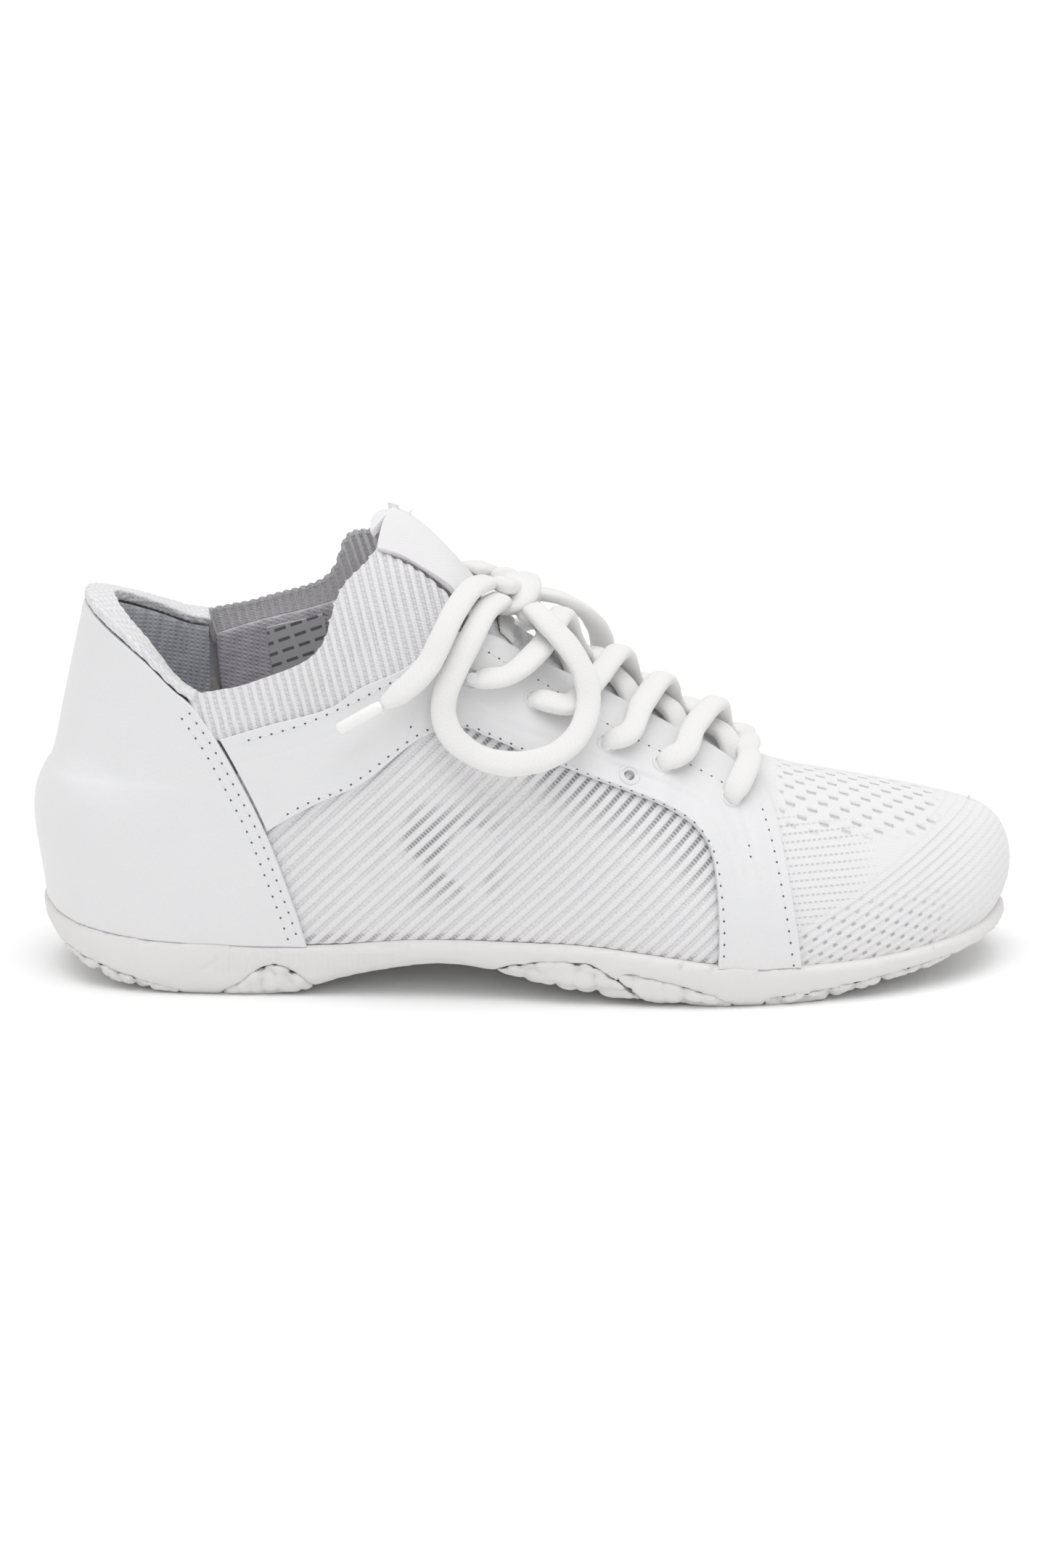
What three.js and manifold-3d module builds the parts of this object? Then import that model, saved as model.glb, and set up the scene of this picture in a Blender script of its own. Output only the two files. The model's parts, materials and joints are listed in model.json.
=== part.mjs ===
// A cheer shoe: one low right shoe with a knit upper, moulded sole and laces tied in a bow.
// Millimetres. +X runs from heel to toe, -Y is the outer (lateral) side, +Z is up.
import * as THREE from 'three';
import { mergeVertices } from 'three/addons/utils/BufferGeometryUtils.js';
import Module from 'manifold-3d';

const wasm = await Module();
wasm.setup();

// ---------------------------------------------------------------- driving sizes
const SHOE_LENGTH = 262;
const BALL_WIDTH = 91;
const HEEL_HEIGHT = 105;
const SOLE_OVERHANG = 3.5;      // how far the sole's wall stands out past the upper
const RIM_DROP = 0.7;           // the sole's rim lies this far below the feather line
const BOARD_THICKNESS = 1.5;
const INSOLE_THICKNESS = 3;
const KNIT_THICKNESS = 1.2;
const LEATHER_THICKNESS = 1.2;
const LINING_THICKNESS = 1.1;
const FOAM_THICKNESS = 2.8;
const COUNTER_BULGE = 3.8;      // the moulded heel cup stands out this far at its ledge
const EYELET_RADIUS = 1.5;
const LACE_RADIUS = 2.3;
const FLEX_ANGLE = 30;          // degrees that the toe bends up
const GAP = 0.5;                // between layers and between neighbouring panels
const LINING_GAP = 0.8;         // between the side linings and the knit

// Layers, as distances outwards from the face where the lining meets the knit
const KNIT = [0, KNIT_THICKNESS];
const LEATHER = [KNIT_THICKNESS + GAP, KNIT_THICKNESS + GAP + LEATHER_THICKNESS];
const LINING = [-LINING_GAP - LINING_THICKNESS, -LINING_GAP];
const FOAM = [-GAP - FOAM_THICKNESS, -GAP];
const HEEL_LINING = [FOAM[0] - GAP - LINING_THICKNESS, FOAM[0] - GAP];

// ---------------------------------------------------------------- colours
const paint = (colour, roughness) =>
  new THREE.MeshStandardMaterial({ color: colour, roughness, metalness: 0 });
const LEATHER_WHITE = paint(0xe6e7ec, 0.5);
const KNIT_WHITE = paint(0xe9e6ea, 0.95);
const LINING_GREY = paint(0xc9c8d4, 0.95);
const RUBBER_WHITE = paint(0xecebe9, 0.6);
const LACE_WHITE = paint(0xf1f0ee, 0.9);
const BOARD_WHITE = paint(0xd9d6cf, 0.9);

// ---------------------------------------------------------------- grading
// The pattern below is drawn at its base size and graded to the driving sizes.
const BASE_LENGTH = 262;
const BASE_WIDTH = 91;
const BASE_HEIGHT = 105;
const SOLE_ZONE = 22;           // heights below this belong to the sole and aren't graded

function grade(x, y, z) {
  const rise = (HEEL_HEIGHT - SOLE_ZONE) / (BASE_HEIGHT - SOLE_ZONE);
  return [
    (x * SHOE_LENGTH) / BASE_LENGTH,
    (y * BALL_WIDTH) / BASE_WIDTH,
    z < SOLE_ZONE ? z : SOLE_ZONE + (z - SOLE_ZONE) * rise,
  ];
}

// ---------------------------------------------------------------- the last
// Stations from the back of the heel to the tip of the toe. foot: the feather line where the
// upper meets the sole [x, half width, z]. top: the topline, then the ridge over the instep.
// up and down: the handles of the curve that joins foot to top. rise: extra topline height
// on the inner side.
const STATIONS = [
  { foot: [3.8, 0, 20], top: [16.5, 0, 103], up: [-2.5, 0, 26], down: [-5, 0, -24], rise: 0 },
  { foot: [11, 20.5, 17.5], top: [21, 12, 99.2], up: [-2, 2, 24], down: [-3, 2, -24], rise: 1 },
  { foot: [28, 29, 15], top: [31, 20.5, 91.5], up: [0, 3, 22], down: [-1, 3, -22], rise: 4 },
  { foot: [50, 31, 14], top: [44, 24.5, 80], up: [0, 3, 20], down: [0, 4, -20], rise: 11 },
  { foot: [75, 31, 13.6], top: [61, 26, 84.5], up: [0, 3, 20], down: [0, 4, -20], rise: 11 },
  { foot: [98, 31.5, 15.5], top: [77, 25, 92], up: [0, 3, 20], down: [1, 5, -20], rise: 9 },
  { foot: [115, 33, 16], top: [82, 21, 107.5], up: [0, 3, 22], down: [3, 8, -18], rise: 6 },
  { foot: [125, 34.5, 16], top: [89.5, 12.5, 113.8], up: [0, 3, 22], down: [5, 12, -14], rise: 3 },
  { foot: [133, 36, 16], top: [96.5, 0, 122.8], up: [0, 3, 22], down: [6, 16, -10], rise: 0 },
  { foot: [143, 38, 16], top: [106, 0, 115.4], up: [0, 3, 22] },
  { foot: [155, 40, 15], top: [121.5, 0, 96.2], up: [0, 3, 22] },
  { foot: [170, 42, 13], top: [150, 0, 77.5], up: [0, 3, 19] },
  { foot: [185, 42.5, 11], top: [171, 0, 65.5], up: [0, 3, 17] },
  { foot: [202, 41, 10.2], top: [194, 0, 55], up: [0, 3, 15] },
  { foot: [222, 37.5, 10.5], top: [216, 0, 50], up: [0, 3.5, 14] },
  { foot: [240, 29.5, 12], top: [234, 0, 46.2], up: [2, 4, 12] },
  { foot: [252, 18.5, 13.5], top: [246, 0, 43], up: [4, 3, 10] },
  { foot: [257.5, 0, 15], top: [250, 0, 41.5], up: [7, 0, 8], down: [11, 0, -1.5], rise: 0 },
];
const LAST = STATIONS.length - 1;
const TONGUE_TOP = 8 / LAST;
const RIDGE_FULLNESS = 0.55;    // how far the instep runs out level from the ridge
const RIDGE_LEAN = 0.35;

// Ridge stations leave their upper handle out: it runs out level, and along the ridge
STATIONS.forEach((s, i) => {
  if (s.down) return;
  const [before, after] = [STATIONS[i - 1].top, STATIONS[i + 1].top];
  const slope = (after[2] - before[2]) / (after[0] - before[0]);
  const lean = (s.foot[0] - s.top[0]) * RIDGE_LEAN;
  s.down = [lean, s.foot[1] * RIDGE_FULLNESS, lean * slope];
  s.rise = 0;
});
STATIONS[LAST - 1].down[0] = 7;

const column = (name) => STATIONS.map((s) => s[name]);
const FOOT = column('foot');
const TOP = column('top');
const UP = column('up');
const DOWN = column('down');
const RISE = STATIONS.map((s) => [0, 0, s.rise]);

// The foot's centre line curves inwards towards the toe
const SWING = [[0, 0], [60, -1], [105, -3], [150, -2], [190, 0], [225, 4], [262, 9]];

// Smooth curve through [x, value] pairs, at x
function through(pairs, x) {
  const last = pairs.length - 1;
  const i = Math.min(Math.max(pairs.findIndex((p) => p[0] > x) - 1, 0), last - 1);
  const j = x >= pairs[last][0] ? last - 1 : i;
  const slope = (k) => {
    const [a, b] = [pairs[Math.max(k - 1, 0)], pairs[Math.min(k + 1, last)]];
    return (b[1] - a[1]) / (b[0] - a[0]);
  };
  const [a, b] = [pairs[j], pairs[j + 1]];
  const width = b[0] - a[0];
  const f = THREE.MathUtils.clamp((x - a[0]) / width, 0, 1);
  return (2 * f ** 3 - 3 * f ** 2 + 1) * a[1] + (f ** 3 - 2 * f ** 2 + f) * width * slope(j)
    + (3 * f ** 2 - 2 * f ** 3) * b[1] + (f ** 3 - f ** 2) * width * slope(j + 1);
}

// Catmull-Rom curve through the stations, carried on by its mirror image at heel and toe
function along(points, t) {
  const s = t * LAST;
  const i = Math.min(Math.floor(s), LAST - 1);
  const f = s - i;
  const mirrored = ([x, y, z]) => [x, -y, z];
  const at = (k) => {
    if (k < 0) return mirrored(points[-k]);
    return k > LAST ? mirrored(points[2 * LAST - k]) : points[k];
  };
  const [a, b, c, d] = [at(i - 1), at(i), at(i + 1), at(i + 2)];
  return b.map((_, k) => 0.5 * (2 * b[k] + (c[k] - a[k]) * f
    + (2 * a[k] - 5 * b[k] + 4 * c[k] - d[k]) * f ** 2
    + (3 * b[k] - a[k] - 3 * c[k] + d[k]) * f ** 3));
}

const swing = (x) => through(SWING, x);

// Turns [x, distance from the centre line, z] on one side into a graded point
function place(side, [x, out, z]) {
  return new THREE.Vector3(...grade(x, side * out + swing(x), z));
}

// The last's face: t from 0 at the back of the heel to 1 at the toe, v from 0 at the feather
// line to 1 at the topline or ridge. side is -1 outer, 1 inner. Past an end it goes on round.
function face(side, t, v) {
  if (t < 0) return face(-side, -t, v);
  if (t > 1) return face(-side, 2 - t, v);
  if (v > 1 && t >= TONGUE_TOP) return face(-side, t, 2 - v);
  const foot = along(FOOT, t);
  const up = along(UP, t);
  const down = along(DOWN, t);
  const top = along(TOP, t);
  top[1] = t >= TONGUE_TOP ? 0 : Math.max(top[1], 0);
  if (side > 0) top[2] += along(RISE, t)[2];
  return place(side, foot.map((f, k) => (1 - v) ** 3 * f + 3 * (1 - v) ** 2 * v * (f + up[k])
    + 3 * (1 - v) * v ** 2 * (top[k] + down[k]) + v ** 3 * top[k]));
}

function outward(side, t, v) {
  const step = 1e-3;
  const lengthwise = face(side, t + step, v).sub(face(side, t - step, v));
  const upwards = face(side, t, v + step).sub(face(side, t, v - step));
  return lengthwise.cross(upwards).multiplyScalar(-side).normalize();
}

const above = (side, t, v, height) => face(side, t, v).addScaledVector(outward(side, t, v), height);

// ---------------------------------------------------------------- seams
// A spot is a Vector2 of (t times SPREAD, v), so that both run about evenly in millimetres
const SPREAD = 4;
const spot = (t, v) => new THREE.Vector2(t * SPREAD, v);

// The spot on the outer side that is seen at pattern point (x, z) from the side
function locate(x, z) {
  const [wantX, , wantZ] = grade(x, 0, z);
  const miss = (t, v) => {
    const p = face(-1, t, v);
    return Math.hypot(p.x - wantX, p.z - wantZ);
  };
  let best = { t: 0, v: 0, off: Infinity };
  const seek = (t, v) => {
    if (t < 0 || t > 1 || v < 0 || v > 1) return false;
    const off = miss(t, v);
    if (off >= best.off) return false;
    best = { t, v, off };
    return true;
  };
  for (let i = 0; i <= 50; i++) for (let j = 0; j <= 16; j++) seek(i / 50, j / 16);
  for (let step = 0.02; step > 1e-5; step /= 2) {
    let moved = true;
    while (moved) {
      const { t, v } = best;
      moved = [[1, 0], [-1, 0], [0, 1], [0, -1], [1, 1], [-1, -1], [1, -1], [-1, 1]]
        .map(([a, b]) => seek(t + a * step, v + 2 * b * step)).some(Boolean);
    }
  }
  return spot(best.t, best.v);
}

// The spot beside the ridge at pattern x that is a distance out from the centre line
function besideRidge(x, out) {
  const [wantX, wantOut] = grade(x, out, 0);
  const vAt = (t) => {
    let [low, high] = [0.4, 1];
    for (let i = 0; i < 30; i++) {
      const v = (low + high) / 2;
      const p = face(-1, t, v);
      const centre = face(-1, t, 1);
      if (centre.y - p.y > wantOut) low = v;
      else high = v;
    }
    return low;
  };
  let [rear, front] = [TONGUE_TOP, 1];
  for (let i = 0; i < 30; i++) {
    const t = (rear + front) / 2;
    if (face(-1, t, vAt(t)).x < wantX) rear = t;
    else front = t;
  }
  return spot(rear, vAt(rear));
}

const line = (...spots) => new THREE.SplineCurve(spots);
const seam = (...pairs) => line(...pairs.map(([x, z]) => locate(x, z)));
const shifted = (pairs, dx, dz) => pairs.map(([x, z]) => [x + dx, z + dz]);

// Grid of spots across a four-sided panel. bottom and top run the same way, as left and right do
function panel(bottom, top, left, right, columns, rows) {
  const corner = [bottom.getPoint(0), bottom.getPoint(1), top.getPoint(0), top.getPoint(1)];
  return Array.from({ length: columns + 1 }, (_, i) => Array.from({ length: rows + 1 }, (_, j) => {
    const [s, r] = [i / columns, j / rows];
    const across = bottom.getPointAt(s).multiplyScalar(1 - r).addScaledVector(top.getPointAt(s), r);
    const upright = left.getPointAt(r).multiplyScalar(1 - s).addScaledVector(right.getPointAt(r), s);
    const flat = corner[0].clone().multiplyScalar((1 - s) * (1 - r))
      .addScaledVector(corner[1], s * (1 - r)).addScaledVector(corner[2], (1 - s) * r)
      .addScaledVector(corner[3], s * r);
    return across.add(upright).sub(flat);
  }));
}

// ---------------------------------------------------------------- solids
// Closed solid from rows of points: each row is a loop, and rows are joined in turn. An end is
// capped unless its loop has folded shut on itself, as one on the centre line has.
function loft(rows, { openStart = false, openEnd = false } = {}) {
  const positions = [];
  const triangle = (a, b, c) => positions.push(a.x, a.y, a.z, b.x, b.y, b.z, c.x, c.y, c.z);
  const quad = (a, b, c, d) => {
    triangle(a, b, c);
    triangle(a, c, d);
  };
  const n = rows[0].length;
  for (let i = 0; i + 1 < rows.length; i++) {
    for (let j = 0; j < n; j++) {
      const k = (j + 1) % n;
      quad(rows[i][j], rows[i + 1][j], rows[i + 1][k], rows[i][k]);
    }
  }
  const [start, finish] = [rows[0], rows[rows.length - 1]];
  for (let j = 0; j < n / 2 - 1; j++) {
    if (!openStart) quad(start[j], start[j + 1], start[n - 2 - j], start[n - 1 - j]);
    if (!openEnd) quad(finish[j], finish[n - 1 - j], finish[n - 2 - j], finish[j + 1]);
  }
  return weld(positions);
}

// Geometry with shared corners, no slivers of no area, and its faces pointing out
function weld(positions) {
  const raw = new THREE.BufferGeometry();
  raw.setAttribute('position', new THREE.Float32BufferAttribute(positions, 3));
  const merged = mergeVertices(raw, 1e-3);
  const at = (k) => new THREE.Vector3().fromBufferAttribute(merged.attributes.position, k);
  const faces = [];
  let volume = 0;
  for (let i = 0; i < merged.index.count; i += 3) {
    const [a, b, c] = [0, 1, 2].map((k) => merged.index.getX(i + k));
    if (a === b || b === c || c === a) continue;
    faces.push([a, b, c]);
    volume += at(a).dot(at(b).cross(at(c)));
  }
  merged.setIndex(faces.flatMap((f) => (volume < 0 ? [f[0], f[2], f[1]] : f)));
  return merged;
}

// Rows of a sheet over a grid of spots, between two distances out from the last. swell gives
// how much further out it lies at a point.
function sheet(grid, side, [inner, outer], swell = () => 0) {
  return grid.map((spots) => {
    const points = spots.map((s) => {
      const [t, v] = [s.x / SPREAD, s.y];
      const [base, normal] = [face(side, t, v), outward(side, t, v)];
      return [inner, outer].map((d) => base.clone().addScaledVector(normal, d + swell(base)));
    });
    return [...points.map((p) => p[0]), ...points.map((p) => p[1]).reverse()];
  });
}

function manifold(geometry) {
  const clean = geometry.clone();
  clean.deleteAttribute('normal');
  clean.deleteAttribute('uv');
  const merged = mergeVertices(clean, 1e-3);
  return new wasm.Manifold(new wasm.Mesh({
    numProp: 3,
    vertProperties: new Float32Array(merged.attributes.position.array),
    triVerts: new Uint32Array(merged.index.array),
  }));
}

function geometryOf(solid) {
  const { vertProperties, triVerts } = solid.getMesh();
  const geometry = new THREE.BufferGeometry();
  geometry.setAttribute('position', new THREE.BufferAttribute(new Float32Array(vertProperties), 3));
  geometry.setIndex([...triVerts]);
  return geometry;
}

const shoe = new THREE.Group();
function add(name, geometry, material) {
  const mesh = new THREE.Mesh(geometry, material);
  mesh.name = name;
  shoe.add(mesh);
}
const SIDES = [['lateral', -1], ['medial', 1]];

// ---------------------------------------------------------------- seam lines, seen from the side
const HEM = 0.006;              // v where the upper starts, just above the sole's rim
const COLLAR_EDGE = 0.955;      // v where the heel's shell, foam and lining end
const WRAP_FRONT = [[42.5, 79], [50, 68.5], [57, 56], [62.4, 45], [70, 24], [73, 14.2]];
const STRAP_TOP = [[51, 68.5], [71.8, 74.8], [84.6, 80.6], [92.3, 84.6], [102.5, 89.6], [108, 93]];
const STRAP_BOTTOM = [[63, 45], [73.7, 51.5], [84.2, 56], [97.4, 66], [103, 70], [109, 72.5]];
const STAY_BOTTOM = [[110, 73], [118, 70.6], [130, 65.7], [139, 62.2], [150, 57.5], [158, 54.3],
  [166.6, 50.5], [174, 46.2], [178.4, 40], [180.2, 30], [180.9, 20], [180.7, 11.6]];
const STAY_REAR_TOP = [110, 94];
// The eyestays' inner edges as [x, distance from the centre line]
const THROAT = [[119, 17], [127, 13.5], [138, 10.5], [150, 9.5], [161, 9], [172, 9], [182, 10],
  [189, 14.5]];
const BAND_FRONT = [[193.4, 51], [196.4, 42], [199.6, 26.5], [202, 10.8]];
const QUARTER_TOP = [[55, 60], [66, 54.5], [84, 62], [97, 71], [106, 76], [116, 75], [130, 70],
  [150, 62], [166, 55], [176, 51]];
const RIB_BOTTOM = [[47.5, 73], [52, 66.5], [71.8, 72], [84.6, 78], [92.3, 82], [102.5, 87], [112, 94]];
const TAB_SEAM = [[92.4, 115.4], [97, 114], [102.4, 111.8], [108, 108], [112.7, 104], [115, 100.4]];
const EYELETS = [[116.8, 84.4], [132.5, 78.6], [151.8, 67], [166.4, 61], [184.5, 51.8]];
const SPARE_EYELET = [157.7, 59.5];
const REAR_EDGE = 12.1 / LAST;  // t where tongue and quarters end and the flexing vamp starts

// ---------------------------------------------------------------- heel
const tAt = (x, v) => {
  let [low, high] = [0, 1];
  const want = grade(x, 0, 0)[0];
  for (let i = 0; i < 30; i++) {
    const middle = (low + high) / 2;
    if (face(-1, middle, v).x < want) low = middle;
    else high = middle;
  }
  return low;
};

// Grid round the back of the heel, between two heights, ending at a front edge on both sides
function heelGrid(frontEdge, low, high, columns, rows) {
  return Array.from({ length: columns + 1 }, (_, i) => Array.from({ length: rows + 1 }, (_, j) => {
    const v = low + ((high - low) * j) / rows;
    return spot(frontEdge(v) * (1 - (2 * i) / columns), v);
  }));
}

// t of a seam that runs up the shoe, at height v
function seamAt(pairs) {
  const spots = pairs.map(([x, z]) => locate(x, z)).sort((a, b) => a.y - b.y);
  const heights = spots.map((s) => [s.y, s.x / SPREAD]);
  return (v) => through(heights, THREE.MathUtils.clamp(v, spots[0].y, spots.at(-1).y));
}

// The heel cup swells up to a ledge and fades out towards the arch
const LEDGE_Z = 57;
const bulge = (p) => {
  const { smoothstep } = THREE.MathUtils;
  const swell = smoothstep(p.z, 22, 46) * smoothstep(LEDGE_Z - p.z, 0, 4);
  return COUNTER_BULGE * swell * (1 - smoothstep(p.x, 12, 46));
};
const wrapEdge = seamAt(WRAP_FRONT);
const STIFFENER_INSET = 0.024;  // how far, as t, the stiffener stops short of the wrap's front
const STIFFENER_TOP = 0.72;
const FOAM_BOTTOM = 0.55;
const LINING_BOTTOM = 0.06;
const upTo = (x) => (v) => tAt(x, v);

const wrapGrid = heelGrid(wrapEdge, HEM, COLLAR_EDGE, 22, 11);
const stiffenerGrid = heelGrid((v) => wrapEdge(v) - STIFFENER_INSET, HEM, STIFFENER_TOP, 18, 5);
const foamGrid = heelGrid(upTo(40), FOAM_BOTTOM, COLLAR_EDGE, 16, 3);
const heelLiningGrid = heelGrid(upTo(44), LINING_BOTTOM, COLLAR_EDGE, 16, 5);
const rollGrid = heelGrid(upTo(44.6), COLLAR_EDGE + 0.01, 1, 18, 1);
add('heel_wrap', loft(sheet(wrapGrid, -1, LEATHER, bulge)), LEATHER_WHITE);
add('heel_stiffener', loft(sheet(stiffenerGrid, -1, KNIT)), BOARD_WHITE);
add('collar_foam', loft(sheet(foamGrid, -1, FOAM)), LINING_GREY);
add('heel_lining', loft(sheet(heelLiningGrid, -1, HEEL_LINING)), LINING_GREY);
add('collar_roll', loft(sheet(rollGrid, -1, [HEEL_LINING[0], LEATHER[1]])), LINING_GREY);

// ---------------------------------------------------------------- upper, side by side
const hem = (x) => spot(tAt(x, HEM), HEM);
const firstOf = (pairs) => locate(...pairs[0]);
const lastOf = (pairs) => locate(...pairs.at(-1));
const topSpot = (x, v) => spot(tAt(x, v), v);
const rearTop = spot(REAR_EDGE, locate(...QUARTER_TOP.at(-1)).y);

for (const [name, side] of SIDES) {
  const quarterTop = line(...QUARTER_TOP.slice(0, -1).map((p) => locate(...p)), rearTop);
  const quarter = panel(line(hem(68), hem(100), hem(140), spot(REAR_EDGE, HEM)), quarterTop,
    line(hem(68), locate(64.5, 28), locate(58, 46), firstOf(QUARTER_TOP)),
    line(spot(REAR_EDGE, HEM), rearTop), 14, 7);
  add(`quarter_knit_${name}`, loft(sheet(quarter, side, KNIT)), KNIT_WHITE);

  const lining = panel(line(hem(52), hem(100), hem(140), spot(REAR_EDGE, HEM)),
    line(topSpot(46, 0.9), locate(62, 79), locate(80, 86), locate(98, 90), locate(120, 85),
      locate(150, 71), spot(REAR_EDGE, 0.78)),
    line(hem(52), topSpot(46, 0.9)), line(spot(REAR_EDGE, HEM), spot(REAR_EDGE, 0.78)), 12, 6);
  add(`side_lining_${name}`, loft(sheet(lining, side, LINING)), LINING_GREY);

  const collarTop = [48, 54, 62, 70, 76, 80, 83.5, 87.5].map((x) => topSpot(x, 0.995));
  const ribFront = shifted(TAB_SEAM.slice(1), -0.7, -0.7).reverse();
  const rib = panel(seam(...RIB_BOTTOM), line(topSpot(45.5, 0.985), ...collarTop, topSpot(91.2, 0.99)),
    line(firstOf(RIB_BOTTOM), topSpot(45.5, 0.985)),
    line(lastOf(RIB_BOTTOM), ...ribFront.map((p) => locate(...p)), topSpot(91.2, 0.99)), 12, 4);
  add(`rib_collar_${name}`, loft(sheet(rib, side, KNIT)), KNIT_WHITE);

  const strap = panel(seam(...STRAP_BOTTOM), seam(...STRAP_TOP),
    line(firstOf(STRAP_BOTTOM), locate(57.5, 57), firstOf(STRAP_TOP)),
    line(lastOf(STRAP_BOTTOM), lastOf(STRAP_TOP)), 10, 3);
  add(`collar_strap_${name}`, loft(sheet(strap, side, LEATHER)), LEATHER_WHITE);

  const stayTop = line(locate(...STAY_REAR_TOP), ...THROAT.map((p) => besideRidge(...p)),
    ...BAND_FRONT.map((p) => locate(...p)));
  const stay = panel(seam(...STAY_BOTTOM), stayTop,
    line(firstOf(STAY_BOTTOM), locate(...STAY_REAR_TOP)),
    line(lastOf(STAY_BOTTOM), lastOf(BAND_FRONT)), 24, 4);
  let cut = manifold(loft(sheet(stay, side, LEATHER)));
  for (const [x, z] of [...EYELETS, SPARE_EYELET]) {
    const { x: u, y: v } = locate(x, z);
    const drill = new THREE.CylinderGeometry(EYELET_RADIUS, EYELET_RADIUS, 12, 8);
    drill.applyQuaternion(new THREE.Quaternion().setFromUnitVectors(
      new THREE.Vector3(0, 1, 0), outward(side, u / SPREAD, v)));
    drill.translate(...above(side, u / SPREAD, v, LEATHER[0]).toArray());
    cut = cut.subtract(manifold(drill));
  }
  add(`eyestay_${name}`, geometryOf(cut), LEATHER_WHITE);
}

// ---------------------------------------------------------------- across the ridge
// Grid from one side over the ridge to the other: the half grid's columns run from its outer
// edge to the ridge, and are carried on by their mirror image
function overRidge(half) {
  const mirrored = (spots) => spots.slice(0, -1).reverse().map((s) => new THREE.Vector2(s.x, 2 - s.y));
  return half.map((spots) => [...spots, ...mirrored(spots)]);
}

const ridge = (t) => spot(t, 1);
const tabHalf = panel(
  seam(...TAB_SEAM),
  line(ridge(TONGUE_TOP), ridge(TONGUE_TOP + 0.04), ridge(9.8 / LAST)),
  line(firstOf(TAB_SEAM), spot(7.6 / LAST, 0.995), ridge(TONGUE_TOP)),
  line(lastOf(TAB_SEAM), ridge(9.8 / LAST)), 6, 4);
add('tongue_tab', loft(sheet(overRidge(tabHalf), -1, [0, 1.8])), KNIT_WHITE);

const TUCK = 3;                 // how far the tongue runs on under the eyestays
const tongueEdge = THROAT.slice(0, -1).map(([x, out]) => besideRidge(x, out + TUCK));
const tabFoot = locate(115.2, 99.4);
const tongueHalf = panel(
  line(tabFoot, ...tongueEdge.slice(1, -1), spot(REAR_EDGE, 0.84)),
  line(ridge(9.9 / LAST), ridge(11 / LAST), ridge(REAR_EDGE)),
  line(tabFoot, ridge(9.9 / LAST)), line(spot(REAR_EDGE, 0.84), ridge(REAR_EDGE)), 9, 4);
add('tongue', loft(sheet(overRidge(tongueHalf), -1, KNIT)), KNIT_WHITE);

// The toe bends about this line across the ball of the foot
const FLEX_X = 192;
const FLEX_Z = 12.5;
const FLEX_CLEARANCE = 1.2;

// t where a panel meets the plane that leans forward from the flex line by the flex angle
function flexEdge(v, clearance) {
  const [x0] = grade(FLEX_X, 0, 0);
  const lean = Math.tan(THREE.MathUtils.degToRad(FLEX_ANGLE + 2));
  let [low, high] = [REAR_EDGE, 1];
  for (let i = 0; i < 30; i++) {
    const t = (low + high) / 2;
    const p = face(-1, t, v);
    if (p.x < x0 + clearance + Math.max(p.z - FLEX_Z, 0) * lean) low = t;
    else high = t;
  }
  return low;
}

// Grid over the forefoot between two edges, each giving t at height v
function forefootGrid(rear, front, columns, rows) {
  const half = Array.from({ length: columns + 1 }, (_, i) => Array.from({ length: rows + 1 }, (_, j) => {
    const v = HEM + (1 - HEM) * (j / rows);
    return spot(THREE.MathUtils.lerp(rear(v), front(v), 1 - (1 - i / columns) ** 1.4), v);
  }));
  return overRidge(half);
}

const vampRear = () => REAR_EDGE + 0.003;
const vampFront = (v) => flexEdge(v, FLEX_CLEARANCE - GAP);
const toeRear = (v) => flexEdge(v, FLEX_CLEARANCE);
const puffRear = () => 14.3 / LAST;
const tip = () => 1;
const FOLDED = { openEnd: true };
add('vamp_knit', loft(sheet(forefootGrid(vampRear, vampFront, 5, 8), -1, KNIT)), KNIT_WHITE);
add('toe_knit', loft(sheet(forefootGrid(toeRear, tip, 10, 8), -1, KNIT), FOLDED), KNIT_WHITE);
add('toe_puff', loft(sheet(forefootGrid(puffRear, tip, 6, 6), -1, LINING), FOLDED), BOARD_WHITE);

// ---------------------------------------------------------------- sole
const SOLE_UNDERSIDE = [[0, 15], [2.7, 12.2], [7.5, 8.5], [20, 3], [32, 0.8], [40, 0], [64, 0],
  [72, 1.4], [81, 4.7], [96, 8], [108, 9.6], [122, 8.1], [137, 4.7], [155, 2.2], [172, 0.7],
  [186, 0], [203, 0], [217, 2.5], [238, 5.8], [250, 9], [257, 12], [261, 13.9]];

// Point of an outline that stands a distance out from the feather line
function rim(side, t, out, rise = 0) {
  const step = 1e-3;
  const here = face(side, t, 0);
  const run = face(side, t + step, 0).sub(face(side, t - step, 0));
  const away = new THREE.Vector3(run.y, -run.x, 0).multiplyScalar(-side).normalize();
  return here.addScaledVector(away, out).add(new THREE.Vector3(0, 0, rise));
}

const underside = (x) => Math.max(0, through(SOLE_UNDERSIDE, (x * BASE_LENGTH) / SHOE_LENGTH));

// Rows of a solid that fills the outline of the shoe, each row a section from side to side
function across(steps, section) {
  return Array.from({ length: steps + 1 }, (_, i) => {
    const t = i / steps;
    const [outer, inner] = [-1, 1].map((side) => section(side, t));
    return [...outer, ...inner.reverse()];
  });
}

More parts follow.
